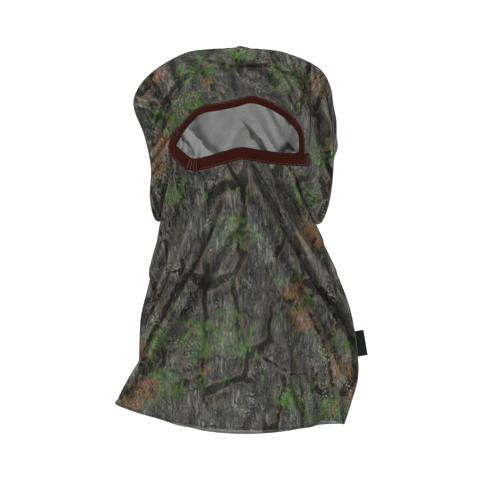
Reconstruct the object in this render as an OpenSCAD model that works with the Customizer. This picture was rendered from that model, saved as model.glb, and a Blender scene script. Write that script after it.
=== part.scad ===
// Sheer camouflage face mask, in the shape it takes when it is worn.
// The face looks along -Y, +X is to the right in the front view, +Z is up.
// The origin is the inside of the crown, where the top of the head touches the cloth.

/* [Worn shape] */
// Height from the crown to the middle of the front hem
mask_h = 414; // [400:1:425]
// Reach of the top left corner from the middle
crown_left = 118; // [110:1:122]
// Reach of the top right corner from the middle
crown_right = 100; // [94:1:108]
// Reach of the left side at the neck
neck_left = 89; // [84:1:96]
// Reach of the right side at the neck
neck_right = 83; // [78:1:90]
// Reach of the left hem corner
hem_left = 137; // [125:1:140]
// Reach of the right hem corner
hem_right = 112; // [105:1:120]
// Reach of the right side at its widest, just below the label
skirt_right = 127; // [120:1:130]
// Depth of the face cloth in front of the crown
face_d = 104; // [98:1:110]
// Depth of the back cloth behind the crown
nape_d = 103; // [95:1:108]

/* [Cut panels] */
// Width of each panel before it is worn
cut_w = 310; // [300:1:320]
// Length of each panel at its middle
cut_h = 470; // [460:1:480]
// Length of each panel along its side seam
side_h = 440; // [430:1:445]
// Radius of the cut top corners
corner_r = 55; // [40:1:60]
// Thickness of the mesh cloth as a solid
cloth_t = 0.6; // [0.5:0.1:0.8]

/* [Eye opening] */
// Reach of the left corner of the opening
eye_left = 70; // [66:1:72]
// Reach of the right corner of the opening
eye_right = 68; // [66:1:72]
// Depth of the brow edge below the crown
brow_z = 61; // [58:1:64]
// Depth of the edge over the nose below the crown
nose_z = 108; // [105:1:111]
// Width of the upper binding
upper_w = 6.5; // [5.5:0.5:7.5]
// Width of the lower band
lower_w = 12.5; // [11.5:0.5:13.5]
// Thickness of one ply of the binding tape
tape_t = 0.6; // [0.5:0.1:0.8]
// Thickness of the elastic inside the tape
elastic_t = 0.8; // [0.6:0.1:1]
// Free end of the lower band past the right corner
tail_l = 14; // [10:1:16]

/* [Thread and label] */
// Radius of the overlocked seam cord
seam_r = 0.9; // [0.7:0.1:1]
// Radius of a single sewing thread
thread_r = 0.22; // [0.2:0.02:0.3]
// Height of the side label
label_h = 28; // [24:1:32]
// How far the side label stands out of the seam
label_out = 9.5; // [8:0.5:12]
// Thickness of the folded label
label_t = 0.9; // [0.7:0.1:1.1]

/* [Hidden] */

gap = 0.25;                // play between plies that lie on each other
half_w = cut_w / 2;
hem_drop = cut_h - side_h;
rings = 13;                // rings of cells from the opening to the panel's edge
back_rings = 11;
n_upper = 36;              // cells along the upper edge of the opening
n_lower = 36;              // cells along the lower edge
n_loop = n_upper + n_lower;

// Lines that the cloth follows, as [distance along the cut panel, [x, y, z]]
front_line = [[0, [-8, 0, 0]], [40, [-8, -0.4 * face_d, -5]], [80, [-6, -0.71 * face_d, -25]],
    [108, [-3, -0.88 * face_d, -56]], [165, [0, -face_d, -109]], [200, [0, -1.15 * face_d, -137]],
    [225, [0, -1.05 * face_d, -160]], [252, [0, -face_d, -186]], [300, [0, -0.94 * face_d, -236]],
    [380, [0, -0.88 * face_d, -316]], [cut_h, [0, -0.85 * face_d, -mask_h]]];
back_line = [[0, [-8, 0, 0]], [50, [-8, 0.48 * nape_d, -6]], [95, [-6, 0.81 * nape_d, -30]],
    [145, [-3, 0.99 * nape_d, -75]], [190, [0, nape_d, -120]], [245, [0, 0.93 * nape_d, -170]],
    [300, [0, 0.83 * nape_d, -222]], [380, [0, 0.78 * nape_d, -300]],
    [cut_h, [0, 0.76 * nape_d, 26 - mask_h]]];
left_line = [[0, [-0.9 * crown_left, 0, -58]], [40, [-crown_left, 0, -80]], [85, [-0.9 * crown_left, 2, -112]],
    [150, [-1.06 * neck_left, 6, -158]], [200, [-neck_left, 8, -196]], [265, [-1.12 * neck_left, 4, -250]],
    [330, [-0.81 * hem_left, 2, -300]], [395, [-0.82 * hem_left, 0, -345]], [side_h, [-hem_left, 0, 30 - mask_h]]];
right_line = [[0, [0.93 * crown_right, 0, -42]], [40, [crown_right, 0, -70]], [95, [crown_right, 2, -108]],
    [150, [1.18 * neck_right, 6, -152]], [200, [neck_right, 8, -194]], [265, [1.25 * neck_right, 4, -246]],
    [330, [0.95 * skirt_right, 2, -298]], [390, [skirt_right, 0, -350]], [side_h, [hem_right, -4, 8 - mask_h]]];

// Edges of the opening in the front view, from its left corner to its right corner, as [x, z]
upper_edge = [[-eye_left, 3 - nose_z], [-0.8 * eye_left, -brow_z - 22], [-0.61 * eye_left, -brow_z - 9],
    [-0.1 * eye_left, -brow_z - 4], [12, -brow_z + 1], [0.42 * eye_right, -brow_z - 4],
    [0.78 * eye_right, -brow_z - 20], [0.95 * eye_right, -brow_z - 36], [eye_right, -nose_z - 3]];
lower_edge = [[-eye_left, 3 - nose_z], [-0.87 * eye_left, -nose_z - 7], [-0.73 * eye_left, -nose_z - 12],
    [-0.3 * eye_left, -nose_z - 5], [0, -nose_z], [0.25 * eye_right, -nose_z - 3],
    [0.62 * eye_right, -nose_z - 7], [eye_right, -nose_z - 3]];

// ---- Curves ----

function span(knots, s, i = 0) = i >= len(knots) - 2 || s < knots[i + 1][0] ? i : span(knots, s, i + 1);

function slope(knots, i) =
    let (a = knots[max(i - 1, 0)], b = knots[min(i + 1, len(knots) - 1)])
    (b[1] - a[1]) / (b[0] - a[0]);

// Point at distance s on the smooth line through the knots
function along(knots, s) =
    let (i = span(knots, s), h = knots[i + 1][0] - knots[i][0], t = (s - knots[i][0]) / h)
    (1 + 2 * t) * (1 - t) * (1 - t) * knots[i][1] + t * (1 - t) * (1 - t) * h * slope(knots, i)
    + t * t * (3 - 2 * t) * knots[i + 1][1] - t * t * (1 - t) * h * slope(knots, i + 1);

function unit(v) = v / norm(v);
function mix(a, b, t) = a + (b - a) * t;

// Knots at their own distances along a chain of points
function chain(points, i = 0, s = 0) = i >= len(points) ? [] :
    concat([[s, points[i]]], chain(points, i + 1,
        s + (i + 1 < len(points) ? norm(points[i + 1] - points[i]) : 0)));

// ---- The cut panel and the worn surface ----

top_l = half_w - corner_r;
arc_l = PI * corner_r / 2;
edge_l = top_l + arc_l + side_h - corner_r + half_w;

// Point of the cut outline at distance d from the middle of the top edge, on the right half
function half_outline(d) =
    d < top_l ? [d, 0]
    : d < top_l + arc_l ? let (a = (d - top_l) / corner_r * 180 / PI)
        [top_l + corner_r * sin(a), corner_r * (1 - cos(a))]
    : d < edge_l - half_w ? [half_w, corner_r + d - top_l - arc_l]
    : let (u = edge_l - d) [u, side_h + hem_drop * (1 - pow(u / half_w, 2))];

// The same for the whole outline: t runs from -1 at the middle of the hem, over the crown, to 1
function outline(t) = let (p = half_outline(abs(t) * edge_l)) [t < 0 ? -p[0] : p[0], p[1]];

// Half the width of the cut panel at a distance down from its top edge
function row_half(v) = v >= corner_r ? half_w
    : top_l + sqrt(pow(corner_r, 2) - pow(corner_r - v, 2));

// Where a point of a cut panel lies when the mask is worn; side is -1 for the face, 1 for the back
function worn(p, side) =
    let (c = along(side < 0 ? front_line : back_line, p[1]),
        e = along(p[0] < 0 ? left_line : right_line, min(p[1], side_h)),
        a = min(abs(p[0]) / half_w, 1) * 90,
        depth_a = min(abs(p[0]) / row_half(p[1]), 1) * 90)
    [mix(c[0], e[0], sin(a)), mix(e[1], c[1], cos(depth_a)), mix(c[2], e[2], 1 - cos(a))];

// Depth of the face cloth where the opening lies
function face_y(x, z) =
    -lookup(z, [[-190, face_d], [-112, face_d], [-brow_z, 0.93 * face_d], [-30, 0.8 * face_d]])
    * sqrt(1 - pow(x / (1.2 * eye_left), 2));

upper_knots = chain(upper_edge);
lower_knots = chain(lower_edge);
function eye_edge(knots, t) =
    let (q = along(knots, t * knots[len(knots) - 1][0])) [q[0], face_y(q[0], q[1]), q[1]];

// Loop of the opening, clockwise from its left corner in the front view
eye_loop = concat([for (i = [0:n_upper - 1]) eye_edge(upper_knots, i / n_upper)],
    [for (i = [0:n_lower - 1]) eye_edge(lower_knots, 1 - i / n_lower)]);

// Place along the outline that opening point i faces: even steps over the crown,
// then down the side to the hem corner and along the hem
side_cells = 10;
hem_cells = n_lower / 2 - side_cells;
corner_t = 1 - half_w / edge_l;
eye_t = 0.39;           // place on the outline beside the corners of the opening
function half_t(j) = j < side_cells ? mix(eye_t, corner_t, j / side_cells)
    : mix(corner_t, 1, (j - side_cells) / hem_cells);
function loop_t(i) = i <= n_upper ? eye_t * (2 * i / n_upper - 1)
    : i <= n_upper + n_lower / 2 ? half_t(i - n_upper) : -half_t(n_loop - i);
edge_loop = [for (i = [0:n_loop - 1]) outline(loop_t(i))];

first_hem = n_upper + side_cells;       // places on the loop of the two hem corners
last_hem = n_loop - side_cells;
function on_seam(i) = i <= first_hem || i >= last_hem;

// The opening as it lies on the cut panel
cut_eye_w = 84;
cut_eye_v = 140;
cut_eye_h = 29;
cut_eye = [for (i = [0:n_loop - 1]) let (a = 180 - 360 * i / n_loop)
    [cut_eye_w * cos(a), cut_eye_v - cut_eye_h * sin(a)]];

// Width of the tape round the loop, with a short taper where the two tapes meet
function tape_w(i) = let (j = i > n_loop / 2 + n_upper / 2 ? i - n_loop : i)
    lookup(j, [[1, lower_w], [4, upper_w], [n_upper - 2, upper_w], [n_upper + 1, lower_w]]);

// Face cloth point: i around the opening, f from 0 at the opening to 1 at the outline
function face_point(i, f) =
    let (flat = mix(cut_eye[i], edge_loop[i], f), shift = eye_loop[i] - worn(cut_eye[i], -1))
    worn(flat, -1) + pow(1 - f, 3) * shift;

// Direction from the opening into the cloth, square to its edge and smoothed round its corners
function turn(i) = (i + n_loop) % n_loop;
function face_normal(p) = unit([p[0] / pow(1.2 * eye_left, 2), p[1] / pow(face_d, 2), brow_lean / face_d]);
function edge_way(i) = unit(cross(face_normal(eye_loop[turn(i)]),
    unit(eye_loop[turn(i + 1)] - eye_loop[turn(i - 1)])));
brow_lean = 0.15;
corner_run = 3;         // cells each way over which the direction is smoothed
into_cloth = [for (i = [0:n_loop - 1])
    unit([for (k = [-corner_run:corner_run]) (corner_run + 1 - abs(k))] *
        [for (k = [-corner_run:corner_run]) edge_way(i + k)])];

function grid_point(i, k) = k == 0 ? eye_loop[i] : k == 1 ? eye_loop[i] + tape_w(i) * into_cloth[i]
    : face_point(i, mix(tape_w(i) / norm(edge_loop[i] - cut_eye[i]), 1, (k - 1) / (rings - 1)));
face_grid = [for (k = [0:rings]) [for (i = [0:n_loop - 1]) grid_point(i, k)]];
back_pole = [0, 0.55 * cut_h];
back_grid = [for (k = [0:back_rings]) [for (i = [0:n_loop - 1]) k == back_rings && on_seam(i)
    ? face_grid[rings][i] : worn(mix(back_pole, edge_loop[i], (k + 1) / (back_rings + 1)), 1)]];

// ---- Thick skins on grids of points ----

// Unit normal at a grid point, from its neighbours along and across the rings
function normal(grid, k, i) =
    let (n = len(grid[0]), last = len(grid) - 1)
    unit(cross(grid[k][(i + 1) % n] - grid[k][(i + n - 1) % n],
        grid[min(k + 1, last)][i] - grid[max(k - 1, 0)][i]));

seam_line = face_grid[rings];

// Normal of the seam line, shared by both panels so that their edges meet face to face
function seam_normal(i) =
    unit(cross(seam_line[(i + 1) % n_loop] - seam_line[(i + n_loop - 1) % n_loop], [0, 1, 0]));

function normals(grid, way) = [for (k = [0:len(grid) - 1]) [for (i = [0:n_loop - 1])
    k == len(grid) - 1 && on_seam(i) ? seam_normal(i)
    : way > 0 && k < 2 ? face_normal(eye_loop[i]) : way * normal(grid, k, i)]];
face_normals = normals(face_grid, 1);
back_normals = normals(back_grid, -1);

function flip(faces) = [for (f = faces) [f[2], f[1], f[0]]];
function raise(faces, by) = [for (f = faces) f + [by, by, by]];
function strip(n, a, b) = [for (i = [0:n - 1]) let (j = (i + 1) % n)
    each [[a + i, b + i, b + j], [a + i, b + j, a + j]]];
function layer(grid, normals, h) =
    [for (k = [0:len(grid) - 1]) for (i = [0:n_loop - 1]) grid[k][i] + h * normals[k][i]];

// Skin with a hole at its first ring
module open_skin(grid, normals) {
    m = len(grid);
    skin = [for (k = [0:m - 2]) each strip(n_loop, k * n_loop, (k + 1) * n_loop)];
    hole = flip(strip(n_loop, 0, m * n_loop));
    edge = strip(n_loop, (m - 1) * n_loop, (2 * m - 1) * n_loop);
    polyhedron(concat(layer(grid, normals, cloth_t / 2), layer(grid, normals, -cloth_t / 2)),
        concat(skin, raise(flip(skin), m * n_loop), hole, edge), convexity = 8);
}

// Skin that closes to a pole inside its first ring
module closed_skin(grid, normals, pole) {
    m = len(grid);
    size = m * n_loop + 1;
    skin = concat([for (k = [0:m - 2]) each strip(n_loop, k * n_loop, (k + 1) * n_loop)],
        [for (i = [0:n_loop - 1]) [size - 1, i, (i + 1) % n_loop]]);
    edge = strip(n_loop, (m - 1) * n_loop, (m - 1) * n_loop + size);
    polyhedron(concat(layer(grid, normals, -cloth_t / 2), [pole - [0, cloth_t / 2, 0]],
        layer(grid, normals, cloth_t / 2), [pole + [0, cloth_t / 2, 0]]),
        concat(skin, raise(flip(skin), size), edge), convexity = 8);
}

// Closed solid through a row of like sections, each a list of points
module loft(sections, closed = false) {
    n = len(sections[0]);
    m = len(sections);
    sides = [for (k = [0:m - (closed ? 1 : 2)]) each strip(n, k * n, ((k + 1) % m) * n)];
    ends = closed ? [] : [[for (i = [0:n - 1]) i], [for (i = [n - 1:-1:0]) (m - 1) * n + i]];
    polyhedron([for (s = sections) each s], concat(sides, ends), convexity = 6);
}

// Round cord through a row of points, with across giving one side direction at each
module cord(points, across, r, closed = false) {
    m = len(points);
    loft([for (k = [0:m - 1]) let (
        t = unit(points[closed ? (k + 1) % m : min(k + 1, m - 1)]
            - points[closed ? (k + m - 1) % m : max(k - 1, 0)]),
        a = unit(cross(across[k], t)), b = cross(a, t))
        [for (q = [0:7]) points[k] + r * (cos(45 * q) * a + sin(45 * q) * b)]], closed);
}

// ---- Tape folded over the edge of the opening ----

ply_out = cloth_t / 2 + gap + elastic_t + gap;  // inner face of the outer ply
ply_in = cloth_t / 2 + gap;                     // outer face of the inner ply

// Point by the edge of the opening: x is a place on the loop, s the share of the tape's width
// in from the edge, beyond the distance past the edge, h the height off the cloth
function by_edge(x, s, h, beyond = 0) =
    let (i = (floor(x) + n_loop) % n_loop, j = (i + 1) % n_loop, t = x - floor(x),
        e = mix(face_grid[0][i], face_grid[0][j], t), f = mix(face_grid[1][i], face_grid[1][j], t),
        n = mix(mix(face_normals[0][i], face_normals[0][j], t),
            mix(face_normals[1][i], face_normals[1][j], t), s))
    mix(e, f, s) - beyond * unit(f - e) + h * n;

tape_reach = 0.94;      // share of the tape's width at which its cut edges lie

function tape_section(x) = [
    by_edge(x, tape_reach, ply_out + tape_t), by_edge(x, 0, ply_out + tape_t, gap + tape_t),
    by_edge(x, 0, -ply_in - tape_t, gap + tape_t), by_edge(x, tape_reach, -ply_in - tape_t),
    by_edge(x, tape_reach, -ply_in), by_edge(x, 0, -ply_in, gap),
    by_edge(x, 0, ply_out, gap), by_edge(x, tape_reach, ply_out)];

function elastic_section(x) = [for (p = [[0.8, 0.9], [0.2, 0.9], [0.2, 0.1], [0.8, 0.1]])
    by_edge(x, p[0], cloth_t / 2 + gap + p[1] * elastic_t)];

tape_join = 2;                  // place on the loop where the two tapes meet by the left corner
corner_tack = n_loop - 8;       // place of the left bartack, where the elastic ends

module folded_tape(from, to) loft([for (x = [from:to]) tape_section(x)]);

module upper_eye_binding() color("saddlebrown") folded_tape(tape_join, n_upper);

// Free end of the lower band, flat on the face cloth past the right corner
tail_root = by_edge(n_upper + 1, 0, ply_out);
tail_way = unit([1, 0.95, -0.16]);
tail_down = unit([-0.05, -0.12, -1]);
tail_up = unit(cross(tail_down, tail_way));

module tail() loft([for (d = [0, tail_l / 2, tail_l]) let (p = tail_root + d * tail_way)
    [p, p + tape_t * tail_up, p + lower_w * tail_down + tape_t * tail_up, p + lower_w * tail_down]]);

module lower_eye_band() color("saddlebrown") {
    folded_tape(n_upper, n_loop + tape_join);
    tail();
}

module upper_binding_elastic() color("linen")
    loft([for (x = [tape_join + 2:n_upper - 2]) elastic_section(x)]);

module lower_band_elastic() color("linen")
    loft([for (x = [n_upper + 2:corner_tack]) elastic_section(x)]);

// ---- Sewing threads ----

module thread(a, b) {
    v = b - a;
    translate(a) rotate([0, acos(v[2] / norm(v)), atan2(v[1], v[0])])
        cylinder(h = norm(v), r = thread_r, $fn = 16);
}

thread_out = ply_out + tape_t + thread_r + gap;
thread_in = -ply_in - tape_t - thread_r - gap;
stitches_per_cell = 2;
stitch_share = 0.75;    // share of each step that thread covers, the rest dips into the tape

// Row of stitches on both faces of the tape, s across its width
module stitch_row(from, to, s) for (k = [0:(to - from) * stitches_per_cell - 1], h = [thread_out, thread_in]) {
    x = from + k / stitches_per_cell;
    thread(by_edge(x + 0.03, s, h), by_edge(x + stitch_share / stitches_per_cell, s, h));
}

module upper_binding_topstitch() color("rosybrown") stitch_row(tape_join, n_upper, 0.75);
module lower_band_topstitch() color("rosybrown") stitch_row(n_upper + 2, n_loop - 1, 0.82);

bartack_threads = 5;
module bartack(x, pitch) color("black") for (k = [0:bartack_threads - 1])
    thread(by_edge(x + k * pitch, 0.08, thread_out), by_edge(x + k * pitch, 0.8, thread_out));

module left_corner_bartack() bartack(corner_tack, 0.3);
module right_tail_bartack() bartack(n_upper + 1.2, 0.3);

// ---- Overlocked seams ----

crown_half = 12;        // cells of the crown seam on each side of its middle
crown_mid = n_upper / 2;
seam_in = cloth_t / 2 + gap + seam_r;

module seam_cord(from, to) color("dimgray") {
    at = [for (i = [from:to]) i % n_loop];
    cord([for (i = at) seam_line[i] - seam_in * seam_normal(i)], [for (i = at) seam_normal(i)], seam_r);
}

module crown_seam_thread() seam_cord(crown_mid - crown_half, crown_mid + crown_half);
module right_side_seam_thread() seam_cord(crown_mid + crown_half, first_hem - 1);
module left_side_seam_thread() seam_cord(last_hem + 1, n_loop + crown_mid - crown_half);

// Thread wrapped over the cut edge of the hem, once round the mask
module hem_overlock_thread() color("dimgray") {
    round = concat([for (i = [first_hem:last_hem - 1]) seam_line[i]],
        [for (i = [last_hem:-1:first_hem + 1]) back_grid[back_rings][i]]);
    drop = [0, 0, -seam_r - gap];
    cord([for (p = round) p + drop], [for (p = round) [0, 0, 1]], seam_r, closed = true);
}

// ---- Label ----

label_s = 356;          // distance down the right seam to the middle of the label
label_play = 1.3;       // from the seam line to the line that the label swings about
label_at = along(right_line, label_s);
label_run = along(right_line, label_s + label_h / 2) - along(right_line, label_s - label_h / 2);
label_tilt = atan2(label_run[0], -label_run[2]);

module side_label() color("black") translate(label_at) rotate([0, -label_tilt, 0])
    translate([label_play + 0.5, -label_t / 2, -label_h / 2]) cube([label_out, label_t, label_h]);

module front_panel() color("darkolivegreen") open_skin(face_grid, face_normals);
module back_panel() color("olivedrab") closed_skin(back_grid, back_normals, worn(back_pole, 1));

front_panel();
back_panel();
upper_eye_binding();
lower_eye_band();
upper_binding_elastic();
lower_band_elastic();
upper_binding_topstitch();
lower_band_topstitch();
left_corner_bartack();
right_tail_bartack();
crown_seam_thread();
left_side_seam_thread();
right_side_seam_thread();
hem_overlock_thread();
side_label();
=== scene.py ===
"""Camo face mask: sheer printed mesh cloth, cut, sewn, draped, bound and labelled.

The two panels are laid out flat at their cut size, sewn along the crown and sides, and draped over
a plain dress form by cloth simulation. Everything else is sewn onto the draped cloth: the folded
tapes round the eye opening, their elastic and topstitching, the overlocked seams and the label.
Lengths inside the classes are millimetres, and meshes are in metres.
"""

import logging
import math
from dataclasses import asdict, dataclass, field
from enum import Enum
from typing import Iterable, Sequence

import bmesh
import bpy
import numpy as np
from mathutils import Matrix, Vector
from mathutils.bvhtree import BVHTree
from mathutils.geometry import delaunay_2d_cdt


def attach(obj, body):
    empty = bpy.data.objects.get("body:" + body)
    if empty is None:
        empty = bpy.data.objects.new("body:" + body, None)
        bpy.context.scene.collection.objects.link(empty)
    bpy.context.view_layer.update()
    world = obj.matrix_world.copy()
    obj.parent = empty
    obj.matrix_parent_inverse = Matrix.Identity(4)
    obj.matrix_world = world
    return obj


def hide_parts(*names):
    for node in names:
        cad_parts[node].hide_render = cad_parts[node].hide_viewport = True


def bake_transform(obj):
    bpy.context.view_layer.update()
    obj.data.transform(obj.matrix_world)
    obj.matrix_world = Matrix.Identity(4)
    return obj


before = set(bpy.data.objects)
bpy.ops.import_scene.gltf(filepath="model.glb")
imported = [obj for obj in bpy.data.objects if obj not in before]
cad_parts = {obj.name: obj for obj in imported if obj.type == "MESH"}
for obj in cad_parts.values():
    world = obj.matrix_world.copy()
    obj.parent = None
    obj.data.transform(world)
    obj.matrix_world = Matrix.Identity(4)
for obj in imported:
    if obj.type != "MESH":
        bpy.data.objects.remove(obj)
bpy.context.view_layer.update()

MM = 0.001
BODY = "mask"
log = logging.getLogger("mask")

Knots = Sequence[tuple[float, ...]]


class Side(Enum):
    """The two panels of the bag, with the sign of their outward Y."""

    FACE = -1
    BACK = 1


class Hand(Enum):
    """Left and right in the front view, with the sign of X."""

    LEFT = -1
    RIGHT = 1


# ---------------------------------------------------------------- curves and mesh helpers


def linked(name: str, data: bpy.types.ID) -> bpy.types.Object:
    """New object in the scene that shows the given mesh, lamp or camera.

    Args:
        name: the object's name.
        data: what it shows.

    Returns:
        The new object.
    """
    thing = bpy.data.objects.new(name, data)
    bpy.context.scene.collection.objects.link(thing)
    return thing


def mesh_from(work: bmesh.types.BMesh, name: str) -> bpy.types.Mesh:
    """Mesh out of a finished bmesh, which is then freed.

    Args:
        work: the finished bmesh.
        name: the mesh's name.

    Returns:
        The mesh.
    """
    mesh = bpy.data.meshes.new(name)
    work.to_mesh(mesh)
    work.free()
    return mesh


def read_values(items: bpy.types.bpy_prop_collection, what: str, width: int) -> np.ndarray:
    """Numbers of every item of a mesh, one row an item.

    Args:
        items: the mesh's points, loops or edges, or a layer on them.
        what: the property to read.
        width: how many numbers each item has.

    Returns:
        Whole numbers for indices, and 32-bit numbers for places.
    """
    kind = int if what in ("vertex_index", "vertices") else np.float32
    values = np.zeros(len(items) * width, kind)
    items.foreach_get(what, values)
    return values.reshape(-1, width)


def run_along(points: np.ndarray) -> np.ndarray:
    """Distance of each point of a chain from its first point."""
    return np.r_[0, np.cumsum(np.linalg.norm(np.diff(points, axis=0), axis=1))]


def columns_at(at: np.ndarray, run: np.ndarray, rows: np.ndarray) -> np.ndarray:
    """Rows read off at distances along a chain, column by column."""
    return np.stack([np.interp(at, run, column) for column in rows.T], axis=1)


def smooth(knots: Knots, at: np.ndarray) -> np.ndarray:
    """Smooth line through knots.

    Args:
        knots: rows of a distance followed by the values there, in order of distance.
        at: distances at which the line is wanted.

    Returns:
        One row of values for each distance.
    """
    table = np.asarray(knots, float)
    x, y = table[:, 0], table[:, 1:]
    rise = np.zeros_like(y)
    rise[1:-1] = (y[2:] - y[:-2]) / (x[2:] - x[:-2])[:, None]
    rise[0] = (y[1] - y[0]) / (x[1] - x[0])
    rise[-1] = (y[-1] - y[-2]) / (x[-1] - x[-2])
    k = np.clip(np.searchsorted(x, at, side="right") - 1, 0, len(x) - 2)
    h = x[k + 1] - x[k]
    t = np.clip((at - x[k]) / h, 0, 1)[:, None]
    h = h[:, None]
    return ((1 + 2 * t) * (1 - t) ** 2 * y[k] + t * (1 - t) ** 2 * h * rise[k]
            + t * t * (3 - 2 * t) * y[k + 1] - t * t * (1 - t) * h * rise[k + 1])


def spaced(points: np.ndarray, count: int) -> np.ndarray:
    """Points at even distances along a chain, both ends included.

    Args:
        points: the chain, one row a point.
        count: number of points wanted.

    Returns:
        The evenly spaced points.
    """
    run = run_along(points)
    return columns_at(np.linspace(0, run[-1], count), run, points)


def unit(rows: np.ndarray) -> np.ndarray:
    """Rows scaled to length one."""
    return rows / np.maximum(np.linalg.norm(rows, axis=-1, keepdims=True), 1e-9)


def blurred(rows: np.ndarray, passes: int, closed: bool) -> np.ndarray:
    """Rows averaged with their neighbours a number of times, round a loop or along a chain.

    Args:
        rows: one row a point.
        passes: how many times.
        closed: whether they form a loop.

    Returns:
        The averaged rows.
    """
    for _ in range(passes):
        ring = np.roll(rows, 1, 0) + 2 * rows + np.roll(rows, -1, 0)
        if not closed:
            ring[0], ring[-1] = 4 * rows[0], 4 * rows[-1]
        rows = ring / 4
    return rows


def add_object(name: str, mesh: bpy.types.Mesh, finishes: Sequence[bpy.types.Material],
               body: str = BODY, replaces: Sequence[str] = ()) -> bpy.types.Object:
    """Put a finished mesh in the scene as a piece of the mask.

    Args:
        name: the piece's name.
        mesh: its mesh, in metres and in place.
        finishes: its materials, in the order of the faces' indices.
        body: the CAD body that it rides on, or nothing for a piece left unattached, such as one that sits
            between two.
        replaces: CAD nodes that it stands for.

    Returns:
        The new object.
    """
    piece = linked(name, mesh)
    for finish in finishes:
        mesh.materials.append(finish)
    mesh.polygons.foreach_set("use_smooth", [True] * len(mesh.polygons))
    if body:
        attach(piece, body)
    if replaces:
        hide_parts(*replaces)
    log.info("%s: %d faces", name, len(mesh.polygons))
    return piece


def solidified(piece: bpy.types.Object, thickness: float, offset: float = 0.0,
               inside: int = 0) -> bpy.types.Object:
    """Give a sheet its thickness.

    Args:
        piece: the sheet.
        thickness: in millimetres.
        offset: -1 for inwards, 0 for both ways, 1 for outwards.
        inside: how many places further on the list the inner face's material is.

    Returns:
        The same piece.
    """
    wall = piece.modifiers.new("thickness", "SOLIDIFY")
    wall.thickness = thickness * MM
    wall.offset = offset
    wall.material_offset = inside
    return piece


def subdivided(piece: bpy.types.Object, levels: int = 1) -> bpy.types.Object:
    """Smooth a piece with a subdivision surface of the same level in view and render.

    Args:
        piece: the piece.
        levels: how often each face is divided.

    Returns:
        The same piece.
    """
    soft = piece.modifiers.new("smooth", "SUBSURF")
    soft.levels = soft.render_levels = levels
    return piece


def cloth_grid(name: str, points: np.ndarray, flat: np.ndarray, closed: bool = False,
               capped: bool = False) -> bpy.types.Mesh:
    """Strip or tube of cloth: a grid laid over rows of points.

    Args:
        name: the mesh's name.
        points: places in millimetres, as rows of points across the strip, one row a station.
        flat: the same points on the flat strip, in metres, kept as a UV map.
        closed: whether the last point across meets the first, as on a tube.
        capped: whether open ends are filled.

    Returns:
        The mesh, with a UV map named flat.
    """
    long, wide = points.shape[0] - 1, points.shape[1] - 1
    work = bmesh.new()
    bmesh.ops.create_grid(work, x_segments=long, y_segments=wide, size=1.0)
    cells = {v: (round((v.co.x + 1) * long / 2), round((v.co.y + 1) * wide / 2)) for v in work.verts}
    layer = work.loops.layers.uv.new("flat")
    for face in work.faces:
        for loop in face.loops:
            loop[layer].uv = flat[cells[loop.vert]]
    for vert, cell in cells.items():
        vert.co = Vector(points[cell]) * MM
    if closed:
        bmesh.ops.remove_doubles(work, verts=work.verts, dist=1e-6)
    if capped:
        bmesh.ops.holes_fill(work, edges=[e for e in work.edges if e.is_boundary], sides=0)
    bmesh.ops.recalc_face_normals(work, faces=work.faces)
    return mesh_from(work, name)


def tube_grid(path: np.ndarray, radius: float | np.ndarray, sides: int = 6) -> tuple[np.ndarray, np.ndarray]:
    """Points of a thread laid along a path.

    Args:
        path: the middle of the thread, in millimetres.
        radius: its radius, or one radius for each point.
        sides: number of sides of the thread.

    Returns:
        The tube's points and their places on the flat, for cloth_grid.
    """
    along = unit(np.gradient(path, axis=0))
    across = np.cross(along[0], (0.31, 0.87, 0.38))
    frames = []
    for direction in along:
        across = unit(across - direction * float(across @ direction))
        frames.append((across, np.cross(direction, across)))
    turn = np.linspace(0, 2 * math.pi, sides + 1)
    thick = np.broadcast_to(np.asarray(radius, float), (len(path),))
    first, second = np.array([f[0] for f in frames]), np.array([f[1] for f in frames])
    ring = np.cos(turn)[None, :, None] * first[:, None] + np.sin(turn)[None, :, None] * second[:, None]
    run = run_along(path) * MM
    flat = np.stack(np.broadcast_arrays(run[:, None], turn[None, :] * float(thick.mean()) * MM), axis=2)
    return path[:, None] + ring * thick[:, None, None], flat


def thread_mesh(name: str, path: np.ndarray, radius: float | np.ndarray, sides: int = 6) -> bpy.types.Mesh:
    """Closed thread laid along a path, with the thread's own UV map."""
    points, flat = tube_grid(path, radius, sides)
    return cloth_grid(name, points, flat, closed=True, capped=True)


def joined(name: str, meshes: Iterable[bpy.types.Mesh]) -> bpy.types.Mesh:
    """One mesh out of several, which are then thrown away.

    Args:
        name: the new mesh's name.
        meshes: the meshes.

    Returns:
        The mesh.
    """
    work = bmesh.new()
    for part in list(meshes):
        work.from_mesh(part)
        bpy.data.meshes.remove(part)
    return mesh_from(work, name)


# ---------------------------------------------------------------- the cut


@dataclass
class Pattern:
    """A panel laid flat: points across and down from the crown, triangles, and how many are on the rim."""

    points: np.ndarray
    triangles: np.ndarray
    rim: int


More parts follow.
